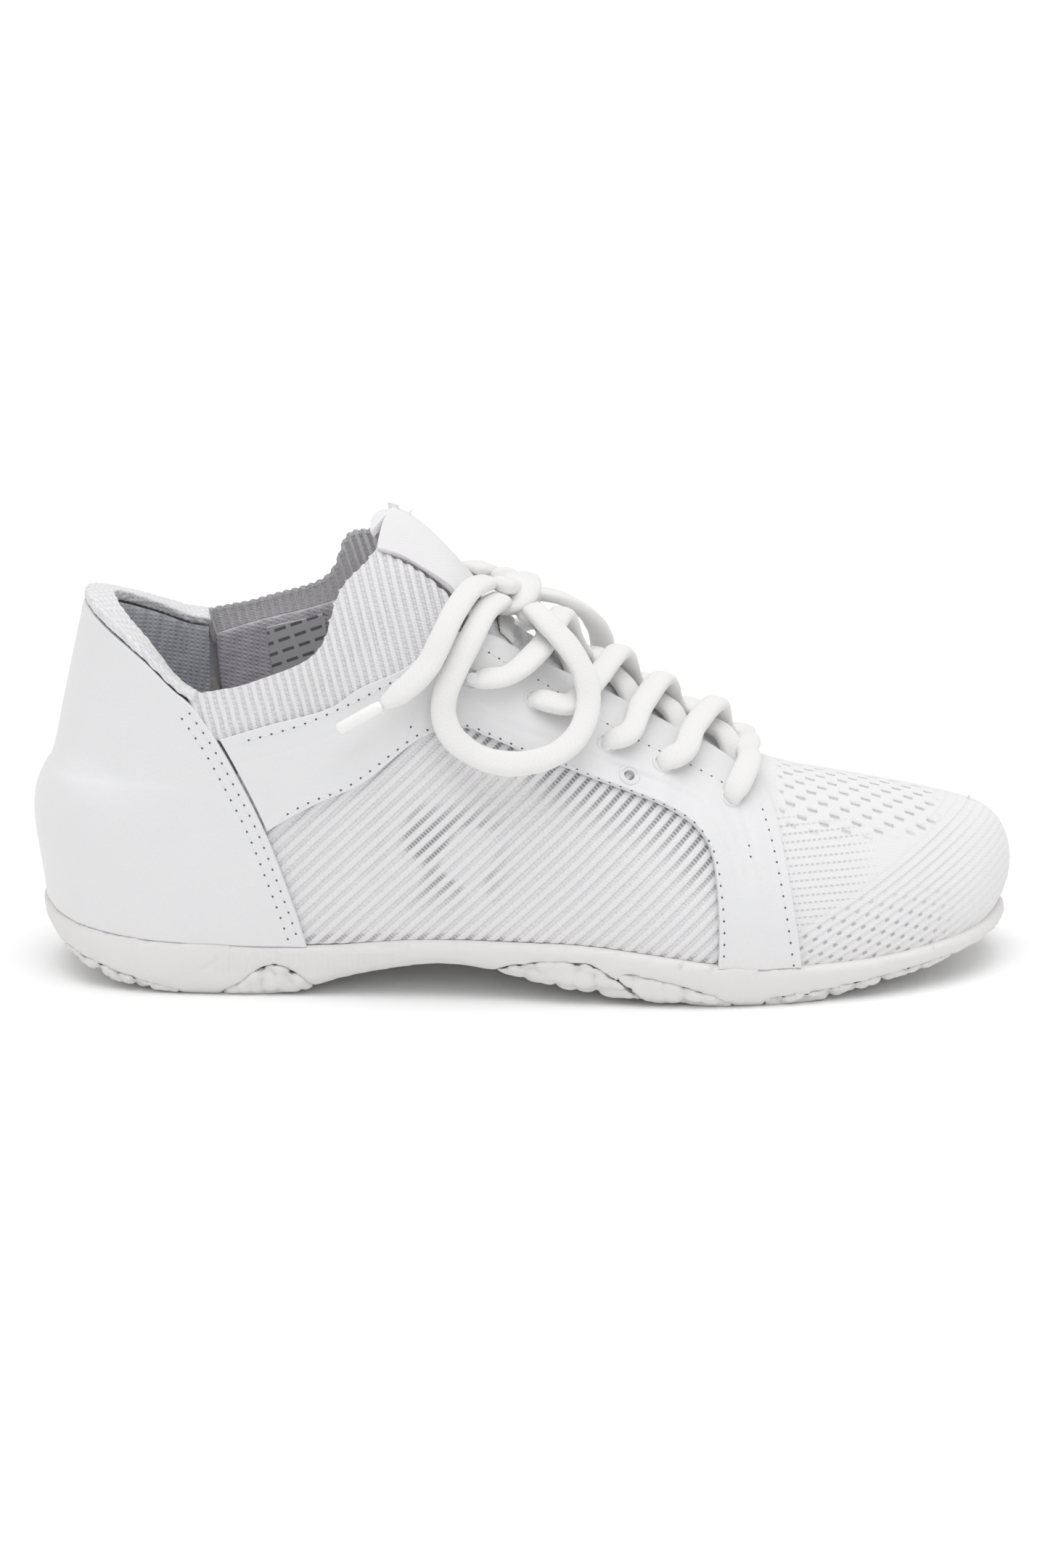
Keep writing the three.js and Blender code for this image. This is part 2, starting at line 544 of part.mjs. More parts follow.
const RECESS = BOARD_THICKNESS + GAP;   // the lasting board lies in the sole's rim
const THINNEST = 0.6;                   // of the sole's wall below that recess
function soleSection(side, t) {
  const wall = rim(side, t, SOLE_OVERHANG, -RIM_DROP);
  const low = (out, rise) => {
    const p = rim(side, t, out);
    return p.setZ(Math.min(underside(p.x) + rise, wall.z - RECESS - THINNEST));
  };
  return [
    rim(side, t, -2.2, -RIM_DROP - RECESS), rim(side, t, -2.2, -RIM_DROP), wall,
    low(SOLE_OVERHANG - 0.4, 2.6), low(0.5, 0),
  ];
}
const ZIPPED = { openStart: true, openEnd: true };
const wholeSole = manifold(loft(across(40, soleSection), ZIPPED));

// Bars of tread, drawn in side view as [x, z] and let into the sole over its whole width
const TREADS = {
  heel_rear_tread: [[5, 4], [8.5, 10.6], [14, 8.2], [22, 5.2], [31, 3.2], [38.5, 1.6], [39, -2], [5, -2]],
  heel_front_tread: [[50, -2], [51, 1.6], [56, 4], [60.5, 7.6], [64, 8.6], [68, 7.4], [73, 3.6], [77, -2]],
  ball_rear_tread: [[119, 6], [126, 10], [136, 11.4], [146, 11.6], [150, 9.8], [157.5, 5], [164, -2],
    [119, -2]],
  ball_front_tread: [[152.5, 9], [160, 8.8], [172, 5.6], [180, 3], [184.5, 1], [184.5, -2],
    [166, -2], [158.5, 5]],
  toe_tread: [[193.2, -2], [193.6, 2.6], [205, 3.2], [216, 4.6], [230, 6.6], [243, 8.4], [246, 5],
    [230, -2]],
};
function bar(outline, margin) {
  const points = outline.map(([x, z]) => {
    const [length, , height] = grade(x, 0, z);
    return new THREE.Vector2(length, height);
  });
  const middle = points.reduce((sum, p) => sum.add(p), new THREE.Vector2()).divideScalar(points.length);
  const grown = points.map((p) => {
    const arm = p.clone().sub(middle);
    return arm.setLength(arm.length() + margin).add(middle);
  });
  const depth = 2 * BALL_WIDTH;
  const solid = new THREE.ExtrudeGeometry(new THREE.Shape(grown), { depth, bevelEnabled: false });
  solid.translate(0, 0, -BALL_WIDTH).rotateX(Math.PI / 2);
  return manifold(solid);
}

let midsole = wholeSole;
for (const [name, outline] of Object.entries(TREADS)) {
  add(name, geometryOf(wholeSole.intersect(bar(outline, 0))), RUBBER_WHITE);
  midsole = midsole.subtract(bar(outline, 0.5));
}
const [flexX] = grade(FLEX_X, 0, 0);
const block = (x0, x1) => {
  const box = new THREE.BoxGeometry(x1 - x0, 3 * BALL_WIDTH, 80);
  return manifold(box.translate((x0 + x1) / 2, 0, 20));
};
add('midsole_rear', geometryOf(midsole.intersect(block(-20, flexX))), RUBBER_WHITE);
add('midsole_toe', geometryOf(midsole.intersect(block(flexX + GAP, SHOE_LENGTH + 20))), RUBBER_WHITE);

// A plate that lies in the shoe: inset from the feather line, between two heights above it
const plate = (inset, low, high) => loft(across(30,
  (side, t) => [rim(side, t, -inset, high), rim(side, t, -inset, low)]), ZIPPED);
add('lasting_board', plate(2.7, -RIM_DROP - BOARD_THICKNESS, -RIM_DROP), BOARD_WHITE);
add('insole', plate(5.4, GAP - RIM_DROP, GAP - RIM_DROP + INSOLE_THICKNESS), LINING_GREY);

// ---------------------------------------------------------------- small parts
const KEEPER_THICKNESS = 0.8;
const [keeperRear, keeperFront] = [besideRidge(122.5, 12), besideRidge(126, 11)];
const [ridgeRear, ridgeFront] = [ridge(10.05 / LAST), ridge(10.2 / LAST)];
const keeperHalf = panel(line(keeperRear, keeperFront), line(ridgeRear, ridgeFront),
  line(keeperRear, ridgeRear), line(keeperFront, ridgeFront), 1, 3);
const KEEPER = [KNIT[1] + GAP, KNIT[1] + GAP + KEEPER_THICKNESS];
add('lace_keeper', loft(sheet(overRidge(keeperHalf), -1, KEEPER)), LACE_WHITE);

// The size label, sewn flat on the inner side's lining
const LABEL = [LINING[0] - 0.9, LINING[0] - 0.4];
const [labelFoot, labelToe] = [locate(62, 62), locate(78, 68)];
const [labelHead, labelTip] = [locate(60, 76), locate(76, 82)];
const labelGrid = panel(line(labelFoot, labelToe), line(labelHead, labelTip),
  line(labelFoot, labelHead), line(labelToe, labelTip), 4, 3);
add('size_label', loft(sheet(labelGrid, 1, LABEL)), BOARD_WHITE);

// ---------------------------------------------------------------- laces
const KNOT_CENTRE = [127.6, -3, 101.2];
const KNOT_REACH = [7.6, 7, 4.6];       // along the instep, across it, and out from it
const KNOT_SLOPE = 38;                  // degrees that the instep falls towards the toe there
const LACES = {
  lace_strand_1_lateral: [[116.5, -31, 86], [125.5, -30.6, 86], [134, -20, 90.5], [140.5, -3.5, 96.5],
    [143.5, 3, 88]],
  lace_strand_1_medial: [[116.5, 25, 86], [125.5, 24.5, 86], [134, 14.5, 90], [137, -2, 91],
    [141.5, -7.5, 87.5]],
  lace_strand_2_lateral: [[135.5, -27, 82], [142, -27, 77.5], [149, -17, 82], [156, -2.5, 86],
    [159, 3, 77.5]],
  lace_strand_2_medial: [[135.5, 22, 82], [142, 22.5, 77.5], [149, 12.5, 82], [153, -1.5, 80.5],
    [157, -7, 77.5]],
  lace_strand_3_lateral: [[154, -26.5, 71], [157.5, -26, 69.5], [161.5, -15, 75], [167.5, -2, 78.5],
    [170, 3.5, 70.5]],
  lace_strand_3_medial: [[154, 23, 71], [157.5, 22.5, 69.5], [161.5, 11.5, 75], [165, -1, 73],
    [169.5, -6.5, 70.5]],
  lace_strand_4_lateral: [[168.5, -23.5, 65.5], [172, -23.5, 64], [175, -14, 68], [181.5, -1.5, 71.5],
    [183.5, 4.5, 64]],
  lace_strand_4_medial: [[168.5, 21, 65.5], [171.5, 21, 64], [175, 12, 68], [179, -0.5, 66],
    [183.5, -5.5, 64]],
  lace_strand_5: [[186.5, -24, 56], [189.5, -17, 59.5], [189.5, -7, 60.5], [190, -0.5, 61],
    [189.5, 6.5, 60.5], [189, 16.5, 59.5], [186.5, 23.5, 56.5]],
  bow_loop_lateral: [[124.6, -12, 102.7], [120.3, -21, 101.3], [116.5, -28.5, 95.9], [112.6, -33, 89],
    [109.6, -36, 82.2], [109.3, -37.5, 76.6], [111.7, -39, 71.5], [118.4, -40, 66.7], [126.5, -40.5, 64.9],
    [136.6, -40, 66.6], [143.6, -36, 70.9], [146.7, -30.5, 77.4], [146.2, -26.5, 84.3],
    [142.4, -23, 90.9], [136.2, -18, 97.1], [131.4, -11.5, 100.3]],
  lace_end_lateral: [[121, -10, 106.7], [116.5, -19, 106.7], [112, -27.5, 102.3], [108.5, -33.2, 96.1],
    [105.5, -36, 90.6], [101.5, -38, 86.3], [97, -39.3, 82.8], [93, -40, 80.2]],
  bow_loop_medial: [[130.9, 5.5, 100.3], [140, 8, 98], [147.2, 13, 92.4], [151, 20, 84.5],
    [150.6, 28, 75.7], [145.3, 34, 68.7], [136.6, 37, 65.5], [127, 37.5, 66.9], [118.4, 36.5, 72],
    [113.6, 34.5, 78.9], [112.2, 32, 87.3], [115, 25.5, 95.7], [119.8, 16, 101.3], [124.2, 8, 102.2]],
  lace_end_medial: [[121, 4.5, 107.1], [116, 14, 106.7], [111, 22, 103], [107, 28, 97], [103, 31.5, 92],
    [98, 34, 87.8], [94, 35, 85.1]],
};
// The clear tips at the ends of the lace, from where the lace stops
const AGLETS = {
  aglet_lateral: [[92.5, -40.1, 79.9], [81.5, -41.2, 73.9]],
  aglet_medial: [[93.5, 35.2, 84.8], [82, 38, 78.6]],
};
const LACE_SIDES = 8;
const LACE_STEP = 7.7;          // mm from one section of a lace to the next

function cordAlong(points, radius) {
  const corners = points.map((p) => new THREE.Vector3(...grade(...p)));
  const path = new THREE.CatmullRomCurve3(corners, false, 'centripetal');
  const section = new THREE.Shape(Array.from({ length: LACE_SIDES }, (_, i) => {
    const turn = (2 * Math.PI * (i + 0.5)) / LACE_SIDES;
    return new THREE.Vector2(radius * Math.cos(turn), radius * Math.sin(turn));
  }));
  const steps = Math.max(1, Math.round(path.getLength() / LACE_STEP));
  return weldedCopy(new THREE.ExtrudeGeometry(section, { steps, extrudePath: path }));
}

function weldedCopy(geometry) {
  const loose = geometry.index ? geometry.toNonIndexed() : geometry;
  return weld(loose.attributes.position.array);
}

const AGLET_RADIUS = 1.6;
for (const [name, points] of Object.entries(LACES)) {
  add(name, cordAlong(points, LACE_RADIUS), LACE_WHITE);
}
for (const [name, points] of Object.entries(AGLETS)) {
  add(name, cordAlong(points, AGLET_RADIUS), LACE_WHITE);
}

const knot = new THREE.SphereGeometry(1, 12, 8);
knot.scale(KNOT_REACH[0], KNOT_REACH[1], KNOT_REACH[2]);
knot.rotateY(THREE.MathUtils.degToRad(KNOT_SLOPE));
knot.translate(...grade(...KNOT_CENTRE));
add('bow_knot', weldedCopy(knot), LACE_WHITE);

// ---------------------------------------------------------------- origin: on the floor, mid-length
const outline = new THREE.Box3();
const FREE_LACES = /^(bow_loop|lace_end|aglet)/;
for (const mesh of shoe.children) {
  if (!FREE_LACES.test(mesh.name)) outline.expandByObject(mesh);
}
const centre = outline.getCenter(new THREE.Vector3());
shoe.position.set(-centre.x, -centre.y, -outline.min.z);

export default shoe;
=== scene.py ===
# %% [markdown]
# A cheer shoe, the right one of a pair. It is a light, low shoe: a knit upper with a leather
# heel and eyestays, a moulded rubber sole that is split into treads, and soft oval laces tied
# in a bow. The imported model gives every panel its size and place. This lesson takes each plain
# panel and gives it the surface of the real one. Distances along the shoe are in millimetres
# from the back of the heel, as on a pattern cutter's drawing.
# %% Load the frame
import json
import math

import bpy
import numpy as np
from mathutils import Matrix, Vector
from mathutils.bvhtree import BVHTree

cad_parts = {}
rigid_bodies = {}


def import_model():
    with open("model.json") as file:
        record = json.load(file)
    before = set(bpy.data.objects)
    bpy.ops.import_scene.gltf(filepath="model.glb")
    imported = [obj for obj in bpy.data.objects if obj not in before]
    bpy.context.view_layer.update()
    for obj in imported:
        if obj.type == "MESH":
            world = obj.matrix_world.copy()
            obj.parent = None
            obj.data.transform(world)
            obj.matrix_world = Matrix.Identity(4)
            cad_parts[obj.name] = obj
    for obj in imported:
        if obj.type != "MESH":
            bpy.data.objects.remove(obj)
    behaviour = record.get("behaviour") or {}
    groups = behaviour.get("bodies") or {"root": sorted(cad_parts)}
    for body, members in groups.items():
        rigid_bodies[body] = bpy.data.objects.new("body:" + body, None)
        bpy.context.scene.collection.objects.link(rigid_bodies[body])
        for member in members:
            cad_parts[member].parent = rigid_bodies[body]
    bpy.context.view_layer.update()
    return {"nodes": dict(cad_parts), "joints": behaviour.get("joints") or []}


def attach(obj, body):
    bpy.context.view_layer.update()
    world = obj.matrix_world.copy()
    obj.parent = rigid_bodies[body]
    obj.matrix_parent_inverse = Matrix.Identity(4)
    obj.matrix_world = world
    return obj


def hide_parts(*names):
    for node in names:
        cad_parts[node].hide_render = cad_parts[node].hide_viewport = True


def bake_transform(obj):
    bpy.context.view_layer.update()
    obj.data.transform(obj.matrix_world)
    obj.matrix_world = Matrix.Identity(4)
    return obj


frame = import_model()
MM = 0.001
TOE_FLEX = next(j for j in frame["joints"] if j["name"] == "toe_flex")
BALL_X, BALL_Z = 192, 12.5
ORIGIN = np.array(TOE_FLEX["pos_m"]) - np.array([BALL_X, 0, BALL_Z]) * MM


def at(x, y, z):
    """A point of the drawing, in metres in the frame."""
    return Vector(ORIGIN + np.array([x, y, z]) * MM)


def drawn(points):
    """Points in the frame, as millimetres of the drawing."""
    return (np.asarray(points) - ORIGIN) / MM


print("frame holds", len(frame["nodes"]), "nodes; the heel's back is at", ORIGIN[0])

# %% [markdown]
# The camera stands a little above the floor, square to the outer side of the shoe, with a long
# lens so that the shoe keeps its side-on proportions. The light is that of a product table: a
# bright room and one broad soft light overhead.
# %% Camera
LENS = 105
DISTANCE = 1.228
TILT = math.radians(15)
LOOK_AT = Vector((-0.0004, 0.0, 0.0488))
lens = bpy.data.cameras.new("camera")
lens.lens = LENS
camera = bpy.data.objects.new("camera", lens)
back = Vector((0, -math.cos(TILT), math.sin(TILT)))
camera.location = LOOK_AT + back * DISTANCE
camera.rotation_euler = (-back).to_track_quat("-Z", "Y").to_euler()
bpy.context.scene.collection.objects.link(camera)
bpy.context.scene.camera = camera
print("camera stands", round(DISTANCE, 3), "m off, tilted", round(math.degrees(TILT)), "degrees")


# %% Light and floor
SUN_STRENGTH = 1.45
SUN_WIDTH = math.radians(60)
SUN_LEAN = math.radians(9)       # it comes a little from the camera's side
ROOM_STRENGTH = 0.70
FLOOR_SIZE = 14                  # metres
sun = bpy.data.lights.new("overhead", "SUN")
sun.energy, sun.angle = SUN_STRENGTH, SUN_WIDTH
holder = bpy.data.objects.new("overhead", sun)
holder.rotation_euler = (SUN_LEAN, 0, 0)
bpy.context.scene.collection.objects.link(holder)
world = bpy.data.worlds.new("room")
world.use_nodes = True
world.node_tree.nodes["Background"].inputs["Color"].default_value = (1, 1, 1, 1)
world.node_tree.nodes["Background"].inputs["Strength"].default_value = ROOM_STRENGTH
bpy.context.scene.world = world
bpy.context.scene.view_settings.view_transform = "Standard"
bpy.ops.object.select_all(action="DESELECT")
bpy.ops.mesh.primitive_plane_add(size=FLOOR_SIZE)
floor = bpy.context.object
floor.name = "floor"
paper = bpy.data.materials.new("paper")
paper.use_nodes = True
paper.node_tree.nodes["Principled BSDF"].inputs["Base Color"].default_value = (0.97, 0.97, 0.97, 1)
paper.node_tree.nodes["Principled BSDF"].inputs["Roughness"].default_value = 0.9
floor.data.materials.append(paper)
print("lit by a soft overhead light and a bright room")

# %% [markdown]
# A finish is a formula over the surface: how dark a valley is, how rough a thread. Blender
# writes such a formula as a web of nodes, which is slow to read. Two small classes let it be
# written as sums instead: Value stands for one number that varies over the surface, and Finish
# is the material that it belongs to.
# %% Finishes as formulas
def plug(tree, socket, value):
    """Gives a socket a steady value, or the link of a Value."""
    if isinstance(value, Value):
        tree.links.new(value.socket, socket)
    elif isinstance(value, (tuple, list)) and len(socket.default_value) == 4 and len(value) == 3:
        socket.default_value = (*value, 1)
    else:
        socket.default_value = value


class Value:
    """One number that varies over a surface. A sum on it adds its Math node."""

    def __init__(self, tree, socket):
        self.tree, self.socket = tree, socket

    def math(self, operation, *terms):
        """A sum whose first term is this number."""
        node = self.tree.nodes.new("ShaderNodeMath")
        node.operation = operation
        for socket, term in zip(node.inputs, (self, *terms)):
            plug(self.tree, socket, term)
        return Value(self.tree, node.outputs[0])

    def __add__(self, other): return self.math("ADD", other)
    def __sub__(self, other): return self.math("SUBTRACT", other)
    def __rsub__(self, other): return (self * -1).math("ADD", other)
    def __mul__(self, other): return self.math("MULTIPLY", other)
    __radd__, __rmul__ = __add__, __mul__

    def wave(self, pitch):
        """1 at every whole number of pitches, 0 half way between, smooth all along."""
        return (self * (2 * math.pi / pitch)).math("COSINE") * 0.5 + 0.5

    def off_row(self, pitch):
        """The number of the nearest row, and how far off it a spot lies."""
        row = (self * (1 / pitch)).math("ROUND")
        return row, (self - row * pitch).math("ABSOLUTE")

    def above(self, low, high):
        """0 below low, 1 above high, and smooth between."""
        node = self.tree.nodes.new("ShaderNodeMapRange")
        node.interpolation_type = "SMOOTHSTEP"
        for socket, term in zip(node.inputs, (self, low, high, 0.0, 1.0)):
            plug(self.tree, socket, term)
        return Value(self.tree, node.outputs[0])


class Finish:
    """A material with one Principled shader. steady values sit on the shader's own sockets."""

    def __init__(self, name, colour, roughness, **steady):
        self.material = bpy.data.materials.new(name)
        self.material.use_nodes = True
        self.tree = self.material.node_tree
        self.shader = self.tree.nodes["Principled BSDF"]
        self.colour = colour
        self.vary("Base Color", colour)
        self.vary("Roughness", roughness)
        for socket, value in steady.items():
            self.vary(socket.replace("_", " "), value)

    def vary(self, socket, value):
        plug(self.tree, self.shader.inputs[socket], value)

    def node(self, kind, settings=(), values=(), out=0):
        made = self.tree.nodes.new(kind)
        for name, setting in dict(settings).items():
            setattr(made, name, setting)
        for key, value in dict(values).items():
            plug(self.tree, made.inputs[key], value)
        return Value(self.tree, made.outputs[out])

    def place(self):
        """x, y and z over the piece, in millimetres of the drawing."""
        spots = self.node("ShaderNodeTexCoord", out=3)
        apart = [self.node("ShaderNodeSeparateXYZ", values={0: spots}, out=k) for k in range(3)]
        return [a * (1 / MM) - start / MM for a, start in zip(apart, ORIGIN)]

    def noted(self, name):
        """A number that the making of the piece wrote on its points."""
        return self.node("ShaderNodeAttribute", {"attribute_name": name}, out=2)

    def grain(self, size_mm, detail=2.0):
        """Cloudy noise with patches of about a size."""
        spots = self.node("ShaderNodeTexCoord", out=3)
        return self.node("ShaderNodeTexNoise", values={"Vector": spots, "Scale": 1 / (size_mm * MM),
                                                        "Detail": detail})

    def tint(self, amount, other):
        """Base colour that goes over to another one by an amount from 0 to 1."""
        mixed = self.node("ShaderNodeMix", {"data_type": "RGBA", "clamp_factor": True},
                          {0: amount, 6: self.colour, 7: other}, out=2)
        self.colour = mixed
        self.vary("Base Color", mixed)

    def bump(self, height, depth_mm):
        made = self.node("ShaderNodeBump", values={"Strength": 1.0, "Distance": depth_mm * MM,
                                                    "Height": height})
        self.vary("Normal", made)


print("finishes are written as formulas on", Value.__name__, "and", Finish.__name__)

# %% [markdown]
# The whole shoe is white, so its finishes differ by how they shine and by small steps of warmth.
# The leather is a smooth coated synthetic: cool white, a faint sheen, very fine pores. The knit
# is matt and a touch warmer, with tiny loops between its ribs, and its valleys let the grey
# backing through. The rubber is the warmest white, and the laces are the brightest.
# %% Leather, rubber and lace finishes
# The grey of the knit's backing thread. The same grey paints shade too: in the toe slots, in the lining's
# cells and loops, and under the eyestay's edge.
THREAD_AND_SHADE_GREY = (0.17, 0.17, 0.18)

leather = Finish("coated_leather", (0.765, 0.765, 0.775), 0.44, Coat_Weight=0.08, Coat_Roughness=0.3)
pores = leather.grain(0.55, 3.0)
leather.tint(leather.grain(9.0, 3.0).above(0.45, 0.8) * 0.10, (0.68, 0.685, 0.71))
leather.vary("Roughness", pores * 0.16 + 0.36)
leather.bump(pores + leather.grain(2.4) * 1.4, 0.07)

rubber = Finish("moulded_rubber", (0.745, 0.735, 0.73), 0.58)
# Painted shade: the rubber is darker where it is noted low, towards the bottom of the sole wall and in the
# hollows between the lugs.
rubber.tint(rubber.noted("low") * 0.25, (0.60, 0.59, 0.575))
rubber.tint(rubber.grain(14.0, 3.0).above(0.5, 0.8) * 0.08, (0.69, 0.68, 0.66))
rubber.bump(rubber.grain(0.5, 3.0) + rubber.grain(1.6) * 0.6, 0.05)

lace_cloth = Finish("woven_lace", (0.81, 0.805, 0.80), 0.85, Sheen_Weight=0.2, Sheen_Roughness=0.5)
# Painted shade: the lace is darker in the dents of its weave, where the valleys are noted.
lace_cloth.tint(lace_cloth.noted("valley") * 0.14, (0.62, 0.61, 0.60))
lace_cloth.bump(lace_cloth.grain(0.35, 2.0), 0.07)

clear_tip = Finish("clear_tip", (0.86, 0.86, 0.85), 0.2, Coat_Weight=0.5, Coat_Roughness=0.1)
clear_tip.bump(clear_tip.grain(1.2), 0.04)
print("leather, rubber, lace and tip are mixed")

# %% Knit finishes
RIB_PITCH, RIB_CLIMB = 2.85, math.radians(44)
COLLAR_PITCH, COLLAR_LEAN = 2.35, math.radians(-75)
TOE_PITCH, TOE_CLIMB = 2.1, math.radians(28)
DASH_ROW, DASH_GAP = 1.75, 1.45
SLOT_ROW, SLOT_GAP = 3.0, 5.9
KNIT_WHITE = (0.80, 0.79, 0.80)


def climb(x, z, angle):
    """Distance across and along ribs that climb towards the toe at an angle."""
    return z * math.cos(angle) - x * math.sin(angle), x * math.cos(angle) + z * math.sin(angle)


def knit(name, colour, loop_mm):
    """A matt cloth of tiny loops."""
    made = Finish(name, colour, 0.92, Sheen_Weight=0.15, Sheen_Roughness=0.6)
    x, y, z = made.place()
    loops = (x * 0.9 + y * 0.45).wave(loop_mm) * (z + x * 0.25).wave(loop_mm * 0.8)
    # Painted shade: a little darker in the gaps between the loops.
    made.tint(loops.above(0.0, 0.3) * -0.07 + 0.07, (0.62, 0.61, 0.63))
    return made, loops, (x, y, z)


ribbed_knit, loops, (x, y, z) = knit("ribbed_knit", KNIT_WHITE, 0.95)
across, on = climb(x, z, RIB_CLIMB)
groove = across.wave(RIB_PITCH).above(0.45, 0.92)
rungs = on.wave(0.85)
# The valleys go grey by the noted tone: grey thread, plus painted shade under the eyestay's edge.
ribbed_knit.tint(groove * ribbed_knit.noted("tone") * (rungs * 0.62 + 0.38), THREAD_AND_SHADE_GREY)
ribbed_knit.bump(loops * 0.5 - groove * 1.0 - groove * rungs * 0.5, 0.18)

collar_knit, loops, (x, y, z) = knit("collar_knit", KNIT_WHITE, 0.9)
groove = climb(x, z, COLLAR_LEAN)[0].wave(COLLAR_PITCH).above(0.4, 0.95)
collar_knit.tint(groove * (z.wave(1.3) * 0.25 + 0.12), (0.35, 0.35, 0.38))
collar_knit.bump(loops * 0.5 - groove, 0.2)

toe_cloth, loops, (x, y, z) = knit("toe_knit_cloth", KNIT_WHITE, 0.9)
row, off = y.off_row(SLOT_ROW)
_, along = (x + row.math("PINGPONG", 1) * (SLOT_GAP / 2)).off_row(SLOT_GAP)
slot = (1 - along.above(0.85, 1.45)) * (1 - off.above(0.2, 0.7)) * toe_cloth.noted("slots")
row, off = z.off_row(DASH_ROW)
_, along = (x + row.math("PINGPONG", 1) * (DASH_GAP / 2)).off_row(DASH_GAP)
dash = (1 - along.above(0.3, 0.55)) * (1 - off.above(0.1, 0.32)) * toe_cloth.noted("dashes")
across, on = climb(x, z, TOE_CLIMB)
groove = across.wave(TOE_PITCH).above(0.3, 0.95) * toe_cloth.noted("ribs")
row, _ = across.off_row(TOE_PITCH)
_, along = (on + row * 1.9).off_row(4.3)
dot = groove.above(0.55, 0.95) * (1 - along.above(0.35, 0.8)) * toe_cloth.noted("dots")
# The slots are darkened with painted shade; the dashes, the dots and the rib valleys are grey thread.
toe_cloth.tint(slot * 0.30 + dash * 0.32 + dot * 0.5 + groove * 0.05, THREAD_AND_SHADE_GREY)
toe_cloth.bump(loops * 0.3 - slot * 1.6 - dash * 0.5 - groove * 0.7 - dot * 0.5, 0.2)
print("three knits: ribs", RIB_PITCH, "mm apart, collar", COLLAR_PITCH, "mm, toe", TOE_PITCH, "mm")


# %% Lining, board, thread and tape finishes
def pique_cloth(name, colour):
    """A lining with small round cells, darker where the piece's own valleys were noted: painted shade in
    cells and between loops, and the heel lining's dark back seam.
    """
    made, loops, _ = knit(name, colour, 1.5)
    made.tint(made.noted("valley") * 0.5, THREAD_AND_SHADE_GREY)
    made.bump(loops + made.grain(0.5) * 0.6, 0.16)
    return made


lining_cloth = pique_cloth("pique_lining", (0.60, 0.61, 0.67))
side_cloth = pique_cloth("side_lining_cloth", (0.68, 0.65, 0.69))
roll_cloth = pique_cloth("roll_cloth", (0.80, 0.80, 0.81))
board = Finish("pressed_board", (0.72, 0.70, 0.66), 0.9)
board.bump(board.grain(1.5), 0.1)
sponge = Finish("open_foam", (0.70, 0.70, 0.70), 0.95)
sponge.bump(sponge.grain(0.9, 4.0), 0.4)
thread = Finish("stitch_thread", (0.80, 0.80, 0.81), 0.6)
thread.bump(thread.grain(0.25), 0.05)
# A needle hole is a dark bead: painted shade inside the hole.
needle_hole_shade = Finish("needle_hole_shade", (0.12, 0.12, 0.13), 0.9)
needle_hole_shade.bump(needle_hole_shade.grain(0.5), 0.05)
tape = Finish("label_tape", (0.60, 0.60, 0.61), 0.7)
across, on = climb(*tape.place()[::2], math.radians(20))
tape.tint(across.wave(3.1).above(0.72, 0.9) * on.wave(4.7).above(0.15, 0.25) * 0.85, (0.10, 0.10, 0.11))
tape.bump(tape.grain(0.5), 0.08)
print("linings, board, foam, thread and tape are mixed")

# %% [markdown]
# Laces come first, because they are free and have a real length. Each is woven as a soft oval
# tube. A lace is modelled by sweeping one oval along its route, and the weave is real: small
# dents that cross at an angle, as the threads of a braid do. The sweep turns the oval so that
# its flat side faces the shoe.
# %% Routes of the laces
LACE_WIDTH = 6.6
LACE_THICKNESS = 3.6
BRAID = 1.5                # mm from one thread to the next
SAMPLE = 0.45              # mm between sections
AROUND = 26                # points in a section
CORE_HEEL, CORE_TOE = np.array([40.0, 0, 48]), np.array([232.0, 4, 24])


def step(values, low, high):
    """0 below low, 1 above high, smooth between."""
    t = np.clip((values - low) / (high - low), 0, 1)
    return t * t * (3 - 2 * t)


def ripple(co, size, seed):
    """Soft unevenness of about a size, from -1 to 1, the same on every run."""
    turns = np.random.default_rng(seed).uniform(-1, 1, (5, 4))
    waves = [np.sin(co @ (w[:3] / np.linalg.norm(w[:3])) * 2 * math.pi / size + 6 * w[3]) for w in turns]
    return sum(waves) / len(waves)


def outward(points):
    """Unit directions away from a line through the middle of the shoe, at points in mm."""
    run = CORE_TOE - CORE_HEEL
    share = np.clip((points - CORE_HEEL) @ run / (run @ run), 0, 1)
    away = points - (CORE_HEEL + share[:, None] * run)
    return away / np.linalg.norm(away, axis=1)[:, None]


def route(points, spacing=SAMPLE):
    """Even points, in mm, on a smooth line through given points."""
    p = np.array(points, float)
    t = np.concatenate([[0], np.cumsum(np.sqrt(np.linalg.norm(np.diff(p, axis=0), axis=1)))])
    slope = np.gradient(p, t, axis=0)
    fine = []
    for a, b, ma, mb, w in zip(p, p[1:], slope, slope[1:], np.diff(t)):
        f = np.linspace(0, 1, 40, endpoint=False)[:, None]
        fine.append((2 * f**3 - 3 * f**2 + 1) * a + (f**3 - 2 * f**2 + f) * w * ma
                    + (3 * f**2 - 2 * f**3) * b + (f**3 - f**2) * w * mb)
    fine = np.vstack([*fine, p[-1:]])
    far = np.concatenate([[0], np.cumsum(np.linalg.norm(np.diff(fine, axis=0), axis=1))])
    count = max(8, round(far[-1] / spacing))
    even = np.linspace(0, far[-1], count)
    return np.column_stack([np.interp(even, far, fine[:, k]) for k in range(3)]), far[-1]


print("a route is sampled every", SAMPLE, "mm")
